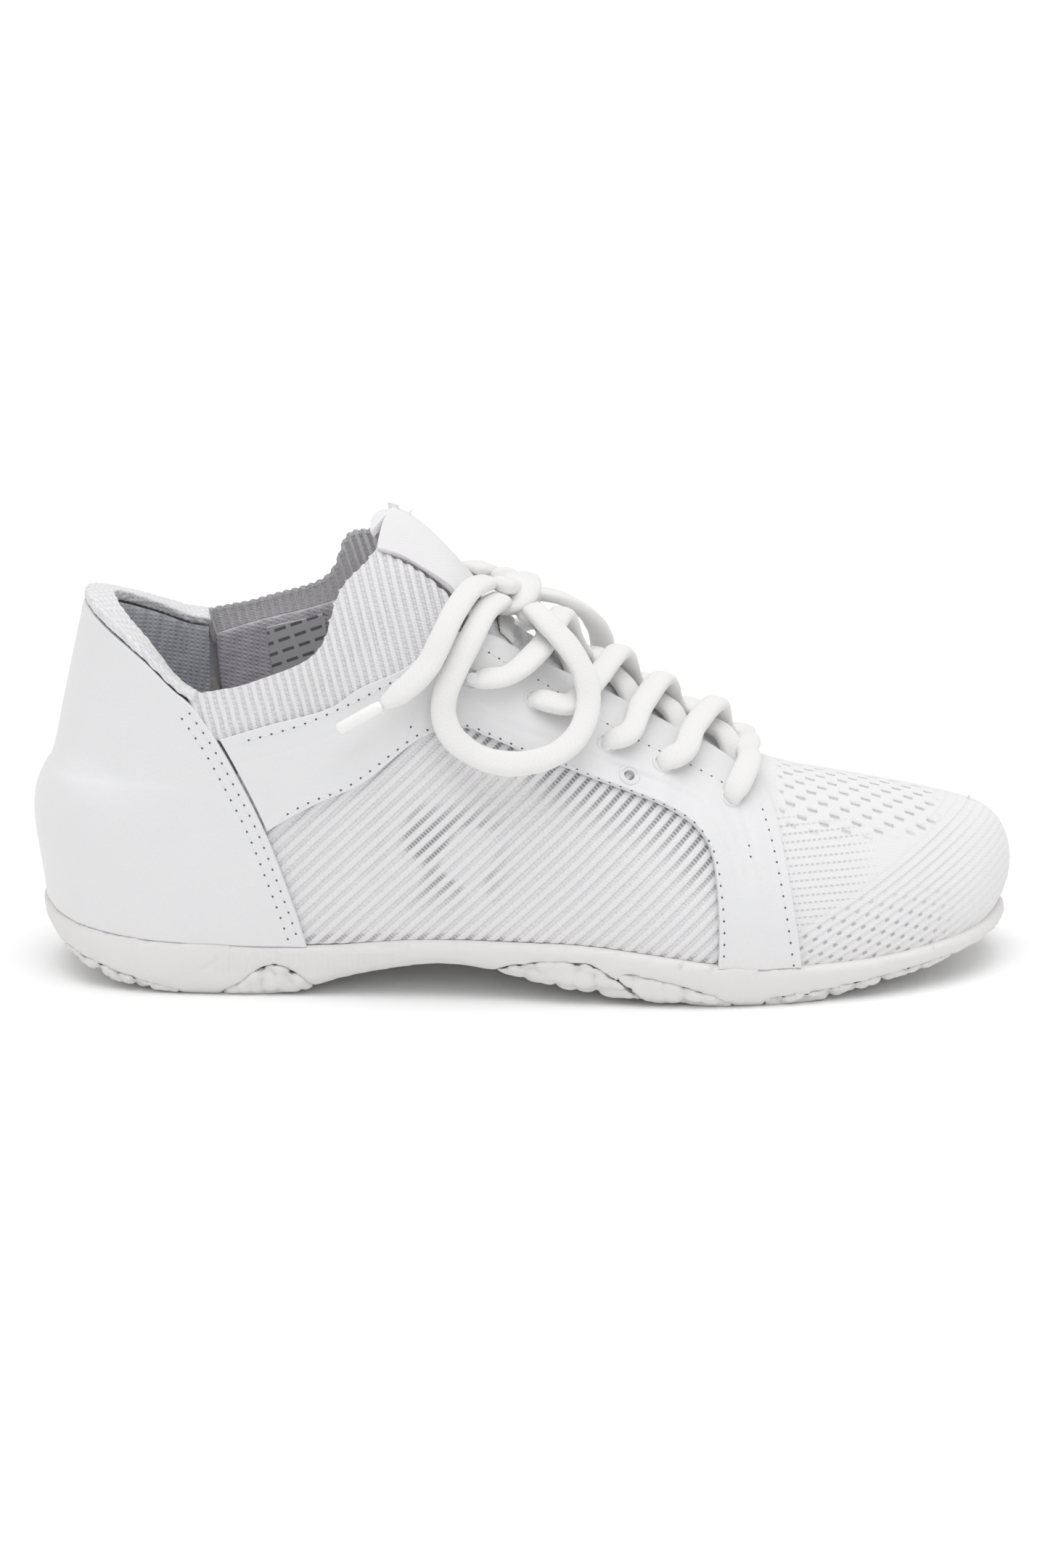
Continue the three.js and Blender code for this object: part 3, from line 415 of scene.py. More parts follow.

# %% [markdown]
# The weave goes on while the oval is swept, because a tube that is made smooth first would need a far finer
# mesh to be dented later. Every piece also gets its finish and its body in one step.
# %% A woven lace
def woven_lace(name, points, width=LACE_WIDTH, thickness=LACE_THICKNESS, taper=(0.0, 0.0), weave=0.05):
    """Sweeps a soft flat oval along a route. taper: mm over which an end narrows."""
    line, length = route(points)
    run = np.gradient(line, axis=0)
    run /= np.linalg.norm(run, axis=1)[:, None]
    up = outward(line)
    up -= (up * run).sum(1)[:, None] * run
    for _ in range(30):
        up[1:-1] = (up[:-2] + up[1:-1] + up[2:]) / 3
    up -= (up * run).sum(1)[:, None] * run
    up /= np.linalg.norm(up, axis=1)[:, None]
    roll = 0.22 * ripple(line, 34, 51)[:, None]
    up = up * np.cos(roll) + np.cross(run, up) * np.sin(roll)
    side = np.cross(run, up)
    s = np.linspace(0, length, len(line))
    near_end = np.minimum(s, length - s)
    round_off = np.sqrt(np.clip(1 - (1 - np.clip(near_end / (thickness / 2), 0, 1)) ** 2, 0.0004, 1))
    pull = 1 + 0.07 * ripple(line, 15, 52) + 0.04 * ripple(line, 6, 53)
    if taper[0]:
        pull *= 0.5 + 0.5 * np.clip(s / taper[0], 0, 1)
    if taper[1]:
        pull *= 0.5 + 0.5 * np.clip((length - s) / taper[1], 0, 1)
    turn = 2 * math.pi * np.arange(AROUND) / AROUND
    ring = np.array([np.sign(np.cos(turn)) * np.abs(np.cos(turn)) ** 0.8 * width / 2,
                     np.sign(np.sin(turn)) * np.abs(np.sin(turn)) ** 0.8 * thickness / 2])
    twist = 13 * turn[None, :] / 2
    dents = np.abs(np.sin(twist + math.pi * s[:, None] / BRAID)) \
        * np.abs(np.sin(twist - math.pi * s[:, None] / BRAID))
    fat = (pull * round_off)[:, None]
    ring_x = ring[0][None, :] * fat * (1 + (dents - 0.5) * 2 * weave / width)
    ring_y = ring[1][None, :] * fat * (1 + (dents - 0.5) * 2 * weave / thickness * 1.6)
    co = line[:, None, :] + side[:, None, :] * ring_x[..., None] + up[:, None, :] * ring_y[..., None]
    rows, n = len(line), AROUND
    j = np.arange(n)
    faces = [(i * n + a, i * n + (a + 1) % n, (i + 1) * n + (a + 1) % n, (i + 1) * n + a)
             for i in range(rows - 1) for a in j]
    faces += [tuple(j[::-1]), tuple((rows - 1) * n + j)]
    mesh = bpy.data.meshes.new(name)
    mesh.from_pydata((co.reshape(-1, 3) * MM + ORIGIN).tolist(), [], [list(map(int, f)) for f in faces])
    # The dents of the weave are noted as valleys, for painted shade.
    mesh.attributes.new("valley", "FLOAT", "POINT").data.foreach_set(
        "value", (1 - dents).ravel().astype(np.float32) ** 3)
    piece = bpy.data.objects.new(name, mesh)
    bpy.context.scene.collection.objects.link(piece)
    only(piece)
    bpy.ops.object.mode_set(mode="EDIT")
    bpy.ops.mesh.select_all(action="SELECT")
    bpy.ops.mesh.normals_make_consistent(inside=False)
    bpy.ops.object.mode_set(mode="OBJECT")
    bpy.ops.object.shade_smooth()
    return piece, line, length


def only(piece):
    """Selects one piece and nothing else, so that an operator acts on it alone."""
    bpy.ops.object.select_all(action="DESELECT")
    piece.select_set(True)
    bpy.context.view_layer.objects.active = piece


def dress(piece, finish, slot, *stands_for, body="shoe"):
    """Gives a piece its finish, and lets it ride on a body in place of its nodes. The slot is not used."""
    piece.data.materials.clear()
    piece.data.materials.append(finish.material)
    if stands_for:
        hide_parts(*stands_for)
    if body:
        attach(piece, body)
    return piece


print("a lace is", LACE_WIDTH, "mm wide and", LACE_THICKNESS, "mm thick")

# %% [markdown]
# The bow's two loops and two ends hang free, so each is swept as a lace of its own length.
# A loop leaves the knot and comes back to it. An end finishes in a clear tip.
# %% The bow's loops and ends
LOOPS = {
    "lateral": [(124.6, -12, 102.7), (120.3, -21, 101.3), (116.5, -28.5, 95.9), (112.6, -33, 89),
                (109.6, -36, 82.2), (109.3, -37.5, 76.6), (111.7, -39, 71.5), (118.4, -40, 66.7),
                (126.5, -40.5, 64.9), (136.6, -40, 66.6), (143.6, -36, 70.9), (146.7, -30.5, 77.4),
                (146.2, -26.5, 84.3), (142.4, -23, 90.9), (136.2, -18, 97.1), (131.4, -11.5, 100.3)],
    "medial": [(130.9, 5.5, 100.3), (140, 8, 98), (147.2, 13, 92.4), (151, 20, 84.5), (150.6, 28, 75.7),
               (145.3, 34, 68.7), (136.6, 37, 65.5), (127, 37.5, 66.9), (118.4, 36.5, 72),
               (113.6, 34.5, 78.9), (112.2, 32, 87.3), (115, 25.5, 95.7), (119.8, 16, 101.3),
               (124.2, 8, 102.2)],
}
ENDS = {
    "lateral": [(121, -10, 106.7), (116.5, -19, 106.7), (112, -27.5, 102.3), (108.5, -33.2, 96.1),
                (105.5, -36, 90.6), (101.5, -38, 86.3), (97, -39.3, 82.8), (93, -40, 80.2)],
    "medial": [(121, 4.5, 106), (116, 14, 105.2), (111, 22, 101.4), (107, 28, 95.9), (103, 31.5, 91.4),
               (98, 34, 87.8), (94, 35, 85.1)],
}
TIPS = {"lateral": [(93.5, -39.9, 80.5), (81.5, -41.2, 73.9)],
        "medial": [(94.5, 34.9, 85.3), (82, 38, 78.6)]}
TIP_WIDTH = 3.4
KNOT = (127.6, -3, 101.2)


for side in ("lateral", "medial"):
    loop, line, length = woven_lace(f"bow_loop_{side}_lace", LOOPS[side])
    dress(loop, lace_cloth, "lace_cotton", f"bow_loop_{side}")
    print(loop.name, round(length), "mm")
    tip, _, _ = woven_lace(f"tip_{side}", TIPS[side], TIP_WIDTH, TIP_WIDTH * 0.8, weave=0.02)
    dress(tip, clear_tip, "aglet_plastic", f"aglet_{side}")
    lace_end, line, length = woven_lace(f"lace_end_{side}_lace", ENDS[side], taper=(0, 6.0))
    dress(lace_end, lace_cloth, "lace_cotton", f"lace_end_{side}")
    print(lace_end.name, round(length), "mm")

# %% [markdown]
# Every panel of the upper is a curved sheet between one and two millimetres thick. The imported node
# has its outline and curve in coarse facets. To refine it, a copy is merged, its outer face is
# kept, subdivided smooth, given its ribs or dents as real shape, and only then thickened inward.
# Working on one open face keeps the ribs from doubling through the sheet.
# %% Copies and faces
MERGE = 0.02 * MM
EDGE_TURN = math.radians(55)     # a panel's face ends where it turns more than this


def modify(piece, kind, **settings):
    """Adds one modifier and applies it."""
    only(piece)
    modifier = piece.modifiers.new(kind.lower(), kind)
    for name, value in settings.items():
        setattr(modifier, name, value)
    bpy.ops.object.modifier_apply(modifier=modifier.name)


def merged_copy(name, *nodes, merge=MERGE):
    """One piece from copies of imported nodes, with shared corners and four-sided faces."""
    copies = []
    for node in nodes:
        part = bpy.data.objects.new(name, frame["nodes"][node].data.copy())
        bpy.context.scene.collection.objects.link(part)
        copies.append(part)
    only(copies[0])
    for part in copies:
        part.select_set(True)
    if len(copies) > 1:
        bpy.ops.object.join()
    piece = bpy.context.view_layer.objects.active
    piece.name = name
    if piece.data.has_custom_normals:
        bpy.ops.mesh.customdata_custom_splitnormals_clear()
    bpy.ops.object.mode_set(mode="EDIT")
    bpy.ops.mesh.select_mode(type="FACE")
    bpy.ops.mesh.select_all(action="SELECT")
    bpy.ops.mesh.remove_doubles(threshold=merge)
    bpy.ops.mesh.tris_convert_to_quads(face_threshold=math.pi, shape_threshold=math.pi)
    bpy.ops.object.mode_set(mode="OBJECT")
    return piece


def pick(piece, wanted):
    """Selects the faces for which wanted(centres in mm, normals) is true, in edit mode."""
    only(piece)
    faces = piece.data.polygons
    centres = drawn([f.center for f in faces])
    normals = np.array([f.normal for f in faces])
    bpy.ops.object.mode_set(mode="EDIT")
    bpy.ops.mesh.select_mode(type="FACE")
    bpy.ops.mesh.select_all(action="DESELECT")
    bpy.ops.object.mode_set(mode="OBJECT")
    faces.foreach_set("select", wanted(centres, normals))
    bpy.ops.object.mode_set(mode="EDIT")


def outer_face(name, *nodes, facing=0.85, inner=False, merge=MERGE):
    """The outer face of a panel as an open sheet, or its inner face."""
    piece = merged_copy(name, *nodes)
    way = -1 if inner else 1
    pick(piece, lambda c, n: way * (outward(c) * n).sum(1) > facing)
    bpy.ops.mesh.faces_select_linked_flat(sharpness=EDGE_TURN)
    bpy.ops.mesh.select_all(action="INVERT")
    bpy.ops.mesh.delete(type="FACE")
    if merge > MERGE:
        bpy.ops.mesh.select_all(action="SELECT")
        bpy.ops.mesh.remove_doubles(threshold=merge)
    bpy.ops.object.mode_set(mode="OBJECT")
    return piece


def finer(piece, levels):
    modify(piece, "SUBSURF", levels=levels, render_levels=levels, boundary_smooth="PRESERVE_CORNERS")


def finer_where(piece, wanted):
    """Subdivides only the faces that a test picks."""
    pick(piece, wanted)
    bpy.ops.mesh.subdivide(number_cuts=1)
    bpy.ops.object.mode_set(mode="OBJECT")


print("a panel's face is found by its direction from the middle of the shoe")

# %% [markdown]
# A rule gives each point its height and notes for the finish, so rib and colour always line up.
# Thickness goes on last.
# %% Shape and thickness
def shape(piece, rule):
    """Moves points along their normals by rule(points in mm, normals), in mm. The rule also
    gives the numbers to note on the points, by name, each from 0 to 1."""
    mesh = piece.data
    co = np.array([v.co for v in mesh.vertices])
    normals = np.array([v.normal for v in mesh.vertices])
    height, notes = rule(drawn(co), normals)
    co += normals * (height * MM)[:, None]
    mesh.vertices.foreach_set("co", co.ravel())
    mesh.update()
    for name, values in notes.items():
        note(piece, name, values)


def stretch(piece, rule):
    """Moves points by rule(points in mm), a vector in mm for each."""
    co = np.array([v.co for v in piece.data.vertices])
    piece.data.vertices.foreach_set("co", (co + rule(drawn(co)) * MM).ravel())
    piece.data.update()


def note(piece, name, values):
    mesh = piece.data
    layer = mesh.attributes.get(name) or mesh.attributes.new(name, "FLOAT", "POINT")
    layer.data.foreach_set("value", np.asarray(values, np.float32))
    mesh.update()


def thicken(piece, thickness_mm, edge_mm=0.35, segments=2):
    """Gives an open face its thickness, inward, and rounds the cut edge."""
    modify(piece, "SOLIDIFY", thickness=thickness_mm * MM, offset=-1, use_even_offset=False)
    modify(piece, "BEVEL", width=edge_mm * MM, segments=segments, limit_method="ANGLE",
           angle_limit=math.radians(60))
    only(piece)
    bpy.ops.object.shade_smooth_by_angle(angle=math.radians(55))


KNIT_THICKNESS, LEATHER_THICKNESS, LINING_THICKNESS = 1.2, 1.65, 1.1


def bend_toe(piece):
    """The piece crosses the ball of the foot; its placement is baked into its points."""
    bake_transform(piece)


print("panels are refined from", sum("knit" in n for n in frame["nodes"]), "knit nodes and the rest")

# %% [markdown]
# Seams, edges and embossed lines all follow the outlines of the panels. Each outline is a few
# points in side view, and a line beside it is the same line moved square to itself.
# %% Outlines
WRAP_FRONT = [(42.5, 79), (50, 68.5), (57, 56), (62.4, 45), (70, 24), (73, 14.2)]
STRAP_TOP = [(51, 68.5), (71.8, 74.8), (84.6, 80.6), (92.3, 84.6), (102.5, 89.6), (108, 93)]
STRAP_BOTTOM = [(63, 45), (73.7, 51.5), (84.2, 56), (97.4, 66), (103, 70), (109, 72.5)]
STAY_BOTTOM = [(110, 73), (118, 70.6), (130, 65.7), (139, 62.2), (150, 57.5), (158, 54.3), (166.6, 50.5),
               (174, 46.2), (178.4, 40), (180.2, 30), (180.9, 20), (180.7, 11.6)]
THROAT = [(112, 94.5), (119, 94), (127, 89.5), (138, 82.6), (150, 74.8), (161, 68.6), (172, 63.2),
          (182, 58), (189, 53.6)]
BAND_FRONT = [(193.4, 51), (196.4, 42), (199.6, 26.5), (202, 10.8)]


def smooth(points):
    """Even points on a smooth line through side-view points."""
    return route([(x, 0, z) for x, z in points], 1.0)[0][:, ::2]


def beside(points, distance):
    """A side-view line moved square to itself: up or forwards if the distance is positive."""
    line = smooth(points)
    run = np.gradient(line, axis=0)
    square = np.column_stack([-run[:, 1], run[:, 0]]) / np.linalg.norm(run, axis=1)[:, None]
    return (line + distance * square)[::4]


def off_line(c, points):
    """Distance in side view from each point to a line."""
    line = smooth(points)
    flat = c[:, [0, 2]]
    best = np.full(len(flat), np.inf)
    for a, b in zip(line, line[1:]):
        t = np.clip((flat - a) @ (b - a) / ((b - a) @ (b - a)), 0, 1)
        best = np.minimum(best, np.linalg.norm(flat - a - t[:, None] * (b - a), axis=1))
    return best


def crease(distance, where, width=0.6):
    """A line pressed into leather: 1 on it, 0 away from it."""
    return np.exp(-((distance - where) / width) ** 2)


print("outlines:", len(WRAP_FRONT), "points on the wrap's front,", len(STAY_BOTTOM), "under the eyestay")

# %% [markdown]
# The heel is wrapped in one piece of leather, moulded over a stiff cup. It is almost smooth:
# what shows is the soft ledge where the cup starts, and how slack it is towards its front seam.
# %% Heel wrap
LEDGE_Z, LEDGE_RISE = 57, 0.55
BACK_SEAM_DEPTH = 0.4


def heel_leather(c, n):
    ledge = step(LEDGE_Z + 0.6 - c[:, 2], 0, 2.6) * np.exp(-((LEDGE_Z - c[:, 2]) / 9).clip(0) ** 2)
    ledge *= 1 - step(c[:, 0], 16, 52)
    back_seam = np.exp(-(c[:, 1] / 0.7) ** 2) * step(c[:, 2], 60, 66)
    edge = step(off_line(c, WRAP_FRONT), 1.4, 2.4)
    return (LEDGE_RISE * ledge + 0.14 * ripple(c, 30, 1) + 0.04 * ripple(c, 8, 2)
            - BACK_SEAM_DEPTH * back_seam + 0.12 * (1 - edge)), {}


heel_wrap = outer_face("heel_wrap_leather", "heel_wrap")
finer(heel_wrap, 3)
shape(heel_wrap, heel_leather)
thicken(heel_wrap, LEATHER_THICKNESS)
dress(heel_wrap, leather, "synthetic_leather", "heel_wrap")
print("heel wrap has", len(heel_wrap.data.polygons), "faces")

# %% [markdown]
# The quarters are one engineered knit: raised ribs that climb towards the toe, with narrow valleys between
# them where rows of grey thread show like the rungs of a ladder. The grey thread is strongest in one soft
# patch in the middle. Under the edge of the eyestay the valleys also get painted shade, darkest at the
# edge.
# %% Quarters
PATCH = (108.5, 40.0)
PATCH_REACH = (15.0, 12.5)
RIB_DEPTH = 0.30
QUARTER_HEM = [(60, 15.2), (120, 16.5), (190, 11.5)]
# How much grey the valleys get: grey thread as a base and in the patch, and painted shade under the
# eyestay's edge.
BASE_GREY, PATCH_GREY, EDGE_PAINTED_SHADE = 0.10, 0.78, 0.85


def quarter_ribs(c, n):
    across, _ = climb(c[:, 0], c[:, 2], RIB_CLIMB)
    groove = step(0.5 + 0.5 * np.cos(2 * math.pi * across / RIB_PITCH), 0.35, 0.95)
    off_patch = (c[:, [0, 2]] - PATCH) / PATCH_REACH
    patch = np.exp(-(off_patch ** 4).sum(1))
    broken = step(ripple(c, 17, 5), -0.15, 0.1)
    # Painted shade below the eyestay's lower edge, fading out within 4 to 14 mm of it.
    above_edge = off_line(c, STAY_BOTTOM[:9])
    shade = 1 - step(above_edge, 0.5, 4 + 10 * step(c[:, 0], 112, 145))
    tone = BASE_GREY + PATCH_GREY * patch * broken + EDGE_PAINTED_SHADE * shade
    hem = 1 - step(off_line(c, QUARTER_HEM), 0.5, 1.6)
    tone = np.clip(tone, 0, 1) * (1 - hem) + 0.6 * hem
    return -RIB_DEPTH * groove + 0.08 * ripple(c, 40, 3), {"tone": tone}


for side in ("lateral", "medial"):
    quarter = outer_face(f"quarter_{side}_knit", f"quarter_knit_{side}")
    finer(quarter, 4)
    shape(quarter, quarter_ribs)
    thicken(quarter, KNIT_THICKNESS, 0.25, 1)
    dress(quarter, ribbed_knit, "stretch_knit", f"quarter_knit_{side}")
    print(quarter.name, len(quarter.data.polygons), "faces")

# %% [markdown]
# The forefoot is knitted in one with the vamp under the eyestay band. On top it is open: staggered short
# slots let air in. Beside them run close rows of tiny dashes, and low round the toe thin ribs climb forward
# with a dark dot every few millimetres in their valleys. It crosses the ball of the foot, so vamp and toe
# are one piece here.
# %% Forefoot knit
SLOT_DEPTH, TOE_RIB_DEPTH = 0.45, 0.20


def toe_pattern(c, n):
    x, y, z = c.T
    level = np.clip(n[:, 2], 0, 1)
    row = np.round(y / SLOT_ROW)
    shifted = x + (row % 2) * SLOT_GAP / 2
    along = np.abs(shifted - np.round(shifted / SLOT_GAP) * SLOT_GAP)
    slots = step(level, 0.70, 0.76) * step(x, 197, 199) * (1 - step(x, 238, 243))
    slot = (1 - step(along, 0.8, 1.5)) * (1 - step(np.abs(y - row * SLOT_ROW), 0.2, 0.9)) * slots
    rib_line = 19.5 + (x - 202) * math.tan(TOE_CLIMB)
    low = 1 - step(z, rib_line - 2, rib_line + 1)
    ribs = np.maximum(low, 0.5 * step(x, 232, 244)) * step(x, 199, 203) * (1 - 0.6 * step(x, 240, 254))
    dots = low * (1 - step(z, 17, 31)) * (1 - step(x, 232, 250))
    dashes = (1 - low) * (1 - step(level, 0.72, 0.82)) * (1 - step(x, 214, 226))
    across, _ = climb(x, z, TOE_CLIMB)
    groove = step(0.5 + 0.5 * np.cos(2 * math.pi * across / TOE_PITCH), 0.3, 0.95) * ribs
    height = -SLOT_DEPTH * slot - TOE_RIB_DEPTH * groove + 0.12 * ripple(c, 34, 4)
    return height, {"slots": slots, "ribs": ribs, "dots": dots, "dashes": dashes}


forefoot = outer_face("forefoot_knit", "vamp_knit", "toe_knit", merge=0.9 * MM)
finer(forefoot, 3)
finer_where(forefoot, lambda c, n: c[:, 0] > 194)
shape(forefoot, toe_pattern)
thicken(forefoot, KNIT_THICKNESS, 0.25, 1)
dress(forefoot, toe_cloth, "stretch_knit", "vamp_knit", "toe_knit", body=None)
bend_toe(forefoot)
print("forefoot knit has", len(forefoot.data.polygons), "faces")

# %% [markdown]
# The collar is edged with a deep rib that stretches over the ankle, and the tongue ends in a
# smooth folded tab. The ribs stand nearly upright, so they are counted along the shoe, at a
# small lean. The tongue itself only shows between the laces.
# %% Collar ribs, tongue and tab
COLLAR_DEPTH, COLLAR_SWELL = 0.42, 0.15
TONGUE_RIBS, TONGUE_SLOTS = 2.2, 3.1         # mm from one to the next


def collar_ribs(c, n):
    across, _ = climb(c[:, 0], c[:, 2], COLLAR_LEAN)
    groove = step(0.5 + 0.5 * np.cos(2 * math.pi * across / COLLAR_PITCH), 0.3, 0.95)
    return COLLAR_SWELL - COLLAR_DEPTH * groove, {}


def tongue_ribs(c, n):
    groove = np.abs(np.cos(math.pi * c[:, 1] / TONGUE_RIBS)) ** 4
    slots = np.abs(np.cos(math.pi * c[:, 0] / TONGUE_SLOTS)) ** 6
    return -0.35 * groove - 0.2 * slots, {"tone": 0.2 + 0 * groove}


def soft_tab(c, n):
    return 0.12 * ripple(c, 22, 6), {name: np.zeros(len(c)) for name in ("slots", "ribs", "dots", "dashes")}


TAB_THICKNESS = 2.0
TAB_SPREAD = 0.09        # the tab laps over the collar by this share of its size
for side in ("lateral", "medial"):
    rib = outer_face(f"rib_collar_{side}_knit", f"rib_collar_{side}", facing=0.6)
    finer(rib, 4)
    stretch(rib, lambda c: np.outer(step(58 - c[:, 0], 0, 12), (-3.4, 0, 0.6)))
    shape(rib, collar_ribs)
    thicken(rib, KNIT_THICKNESS, 0.3)
    dress(rib, collar_knit, "stretch_knit", f"rib_collar_{side}", body=None)
    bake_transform(rib)
tongue = outer_face("tongue_knit", "tongue", facing=0.6)
finer(tongue, 3)
shape(tongue, tongue_ribs)
thicken(tongue, KNIT_THICKNESS, 0.3)
dress(tongue, collar_knit, "stretch_knit", "tongue")
tab = outer_face("tongue_tab_knit", "tongue_tab", facing=0.5)
finer(tab, 3)
stretch(tab, lambda c: (c - c.mean(axis=0)) * TAB_SPREAD)
shape(tab, soft_tab)
thicken(tab, TAB_THICKNESS, 0.7, 3)
dress(tab, toe_cloth, "stretch_knit", "tongue_tab", body="tab")
print("collar ribs are", COLLAR_PITCH, "mm apart")

# %% [markdown]
# The eyestays and the straps are cut from the same leather as the heel. Each eyestay is a frame
# round the lacing, with a punched hole for every pass of the lace and one spare. In the packed
# node the holes are coarse, so they are closed first, the leather is refined, and each hole is
# cut again as a clean round one with a faint raised ring.
# %% Leather and eyelets
EYELETS = [(116.8, 84.4), (132.5, 78.6), (151.8, 67), (166.4, 61), (184.5, 51.8)]
SPARE_EYELET = (157.7, 59.5)
HOLE_RADIUS, PUNCH_DEPTH = 1.5, 8.0
RING_RADIUS, RING_WIDTH = 2.5, 0.38
CLEAR_OF_SHOE, HALF_WIDTH = 80, 22           # mm to the side, outside the shoe and on its skin
PRESSED, RAISED = 5.6, 7.2                   # mm up from the eyestay's lower edge
BAND_PRESSED, BAND_RAISED = 6.4, 8.0         # mm back from the band's front edge


def stay_leather(c, n):
    """Eyestay: a pressed line runs beside its lower edge and the band's, inside a raised strip."""
    below, front = off_line(c, STAY_BOTTOM), off_line(c, BAND_FRONT)
    on_band = step(c[:, 0], 168, 178)
    pressed = (crease(below, PRESSED) * (1 - 0.4 * on_band)
               + 0.7 * crease(front, BAND_PRESSED) * step(54 - c[:, 2], 0, 6))
    raised = 0.16 * crease(below, RAISED, 1.0) + 0.14 * crease(front, BAND_RAISED, 1.2)
    strip = (1 - step(np.minimum(below, front), 1.5, 2.1)) * 0.14
    slack = 0.12 * np.sin(c[:, 0] * 0.5 + 1.3 * ripple(c, 26, 11)) * step(c[:, 0], 150, 175)
    return -0.22 * pressed + raised + strip + slack + 0.10 * ripple(c, 24, 12) + 0.04 * ripple(c, 7, 13), {}


def strap_leather(c, n):
    """Collar strap: a fold line runs along below its top edge."""
    fold = crease(off_line(c, STRAP_TOP), 6.5) * 0.12
    edges = np.minimum(off_line(c, STRAP_TOP), off_line(c, STRAP_BOTTOM))
    slack = 0.12 * ripple(c, 24, 21) + 0.04 * ripple(c, 7, 22)
    return 0.12 * (1 - step(edges, 1.5, 2.2)) - fold + slack, {}


def close_holes(piece, packed, side):
    """Closes the small holes with one face each, and takes out the corners that are left there."""
    only(piece)
    bpy.ops.object.mode_set(mode="EDIT")
    bpy.ops.mesh.select_mode(type="VERT")
    bpy.ops.mesh.select_all(action="SELECT")
    bpy.ops.mesh.fill_holes(sides=24)
    bpy.ops.mesh.select_all(action="DESELECT")
    bpy.ops.object.mode_set(mode="OBJECT")
    mesh = piece.data
    spots = drawn([v.co for v in mesh.vertices])
    reach = np.full(len(spots), np.inf)
    for x, z in [*EYELETS, SPARE_EYELET]:
        middle = drawn([eyelet_spot(packed, x, z, side)[0]])[0]
        reach = np.minimum(reach, np.linalg.norm(spots - middle, axis=1))
    mesh.vertices.foreach_set("select", reach < HOLE_RADIUS + 0.8)
    bpy.ops.object.mode_set(mode="EDIT")
    bpy.ops.mesh.dissolve_verts()
    bpy.ops.mesh.select_all(action="SELECT")
    bpy.ops.mesh.normals_make_consistent(inside=False)
    bpy.ops.object.mode_set(mode="OBJECT")


def tree_of(mesh):
    return BVHTree.FromPolygons([v.co for v in mesh.vertices], [list(f.vertices) for f in mesh.polygons])


def surface_at(tree, x, z, side):
    """Where a line square to the shoe's side meets a surface: the point and its normal, in metres."""
    start = at(x, side * CLEAR_OF_SHOE, z)
    hit, normal, _, _ = tree.ray_cast(start, Vector((0, -side, 0)))
    if hit is None:
        hit, normal, _, _ = tree.find_nearest(at(x, side * HALF_WIDTH, z))
    return hit, normal


def eyelet_spot(skin, x, z, side):
    """The middle of an eyelet on the smooth leather: the nearest leather round the drawn place."""
    rim = [surface_at(skin, x + dx, z + dz, side) for dx, dz in ((3, 1), (-3, -1), (1, -3), (-1, 3))]
    middle = sum((hit for hit, _ in rim), Vector()) / len(rim)
    hit, normal, _, _ = skin.find_nearest(middle)
    return hit, normal


def joined_at(spots, add_one, **sizes):
    """One piece from a copy of a primitive at each spot, square to the leather there."""
    made = []
    for hit, normal in spots:
        bpy.ops.object.select_all(action="DESELECT")
        add_one(location=hit, rotation=normal.to_track_quat("Z", "Y").to_euler(), **sizes)
        made.append(bpy.context.object)
    for one in made:
        one.select_set(True)
    bpy.ops.object.join()
    return bpy.context.view_layer.objects.active


print("an eyelet is", 2 * HOLE_RADIUS, "mm wide")

# %% [markdown]
# Each panel goes through the same steps: outer face, refined, shaped, thickened. The eyestay is punched
# after it has its thickness, so each hole has a clean wall.
# %% Eyestays and straps
SPOTS = {}
for side, sign in (("lateral", -1), ("medial", 1)):
    stay = outer_face(f"eyestay_{side}_leather", f"eyestay_{side}", facing=0.7)
    close_holes(stay, tree_of(frame["nodes"][f"eyestay_{side}"].data), sign)
    finer(stay, 3)
    shape(stay, stay_leather)
    skin = tree_of(stay.data)
    SPOTS[side] = [eyelet_spot(skin, x, z, sign) for x, z in [*EYELETS, SPARE_EYELET]]
    thicken(stay, LEATHER_THICKNESS)
    punch = joined_at(SPOTS[side], bpy.ops.mesh.primitive_cylinder_add, vertices=20,
                      radius=HOLE_RADIUS * MM, depth=PUNCH_DEPTH * MM)
    modify(stay, "BOOLEAN", object=punch, operation="DIFFERENCE", solver="EXACT")
    bpy.data.objects.remove(punch)
    dress(stay, leather, "synthetic_leather", f"eyestay_{side}", body=None)
    bend_toe(stay)
    ring = joined_at(SPOTS[side], bpy.ops.mesh.primitive_torus_add, major_radius=RING_RADIUS * MM,
                     minor_radius=RING_WIDTH * MM, major_segments=36, minor_segments=8)
    ring.name = f"eyelet_rings_{side}"
    bpy.ops.object.transform_apply(location=True, rotation=True, scale=True)
    bpy.ops.object.shade_smooth()
    dress(ring, leather, "synthetic_leather", body=None)
    bend_toe(ring)
    strap = outer_face(f"collar_strap_{side}_leather", f"collar_strap_{side}", facing=0.7)
    finer(strap, 4)
    shape(strap, strap_leather)
    thicken(strap, LEATHER_THICKNESS)
    dress(strap, leather, "synthetic_leather", f"collar_strap_{side}")
    print(stay.name, len(stay.data.polygons), "faces,", len(SPOTS[side]), "eyelets")

# %% [markdown]
# Inside, the heel is lined with a grey pique over foam, and the topline is a soft roll that is knitted
# tight. Roll and foam are copies of their nodes with rounded edges. The side linings, the insole and the
# hidden boards finish the shoe, so that it can be looked into from above.
# %% Linings, roll and inner pieces
def pique(c, n):
    cells = np.abs(np.sin(c[:, 0] * 1.5 + c[:, 2] * 1.5)) * np.abs(np.sin(c[:, 1] * 1.2 - c[:, 2] * 1.8))
    seam_line = np.exp(-((c[:, 1] / 0.9) ** 2)) * step(30 - c[:, 0], 0, 6)
    # Valleys: painted shade in the cells, and the dark seam down the back.
    return -0.2 * cells - 0.6 * seam_line, {"valley": np.clip(0.6 * cells + 0.9 * seam_line, 0, 1)}


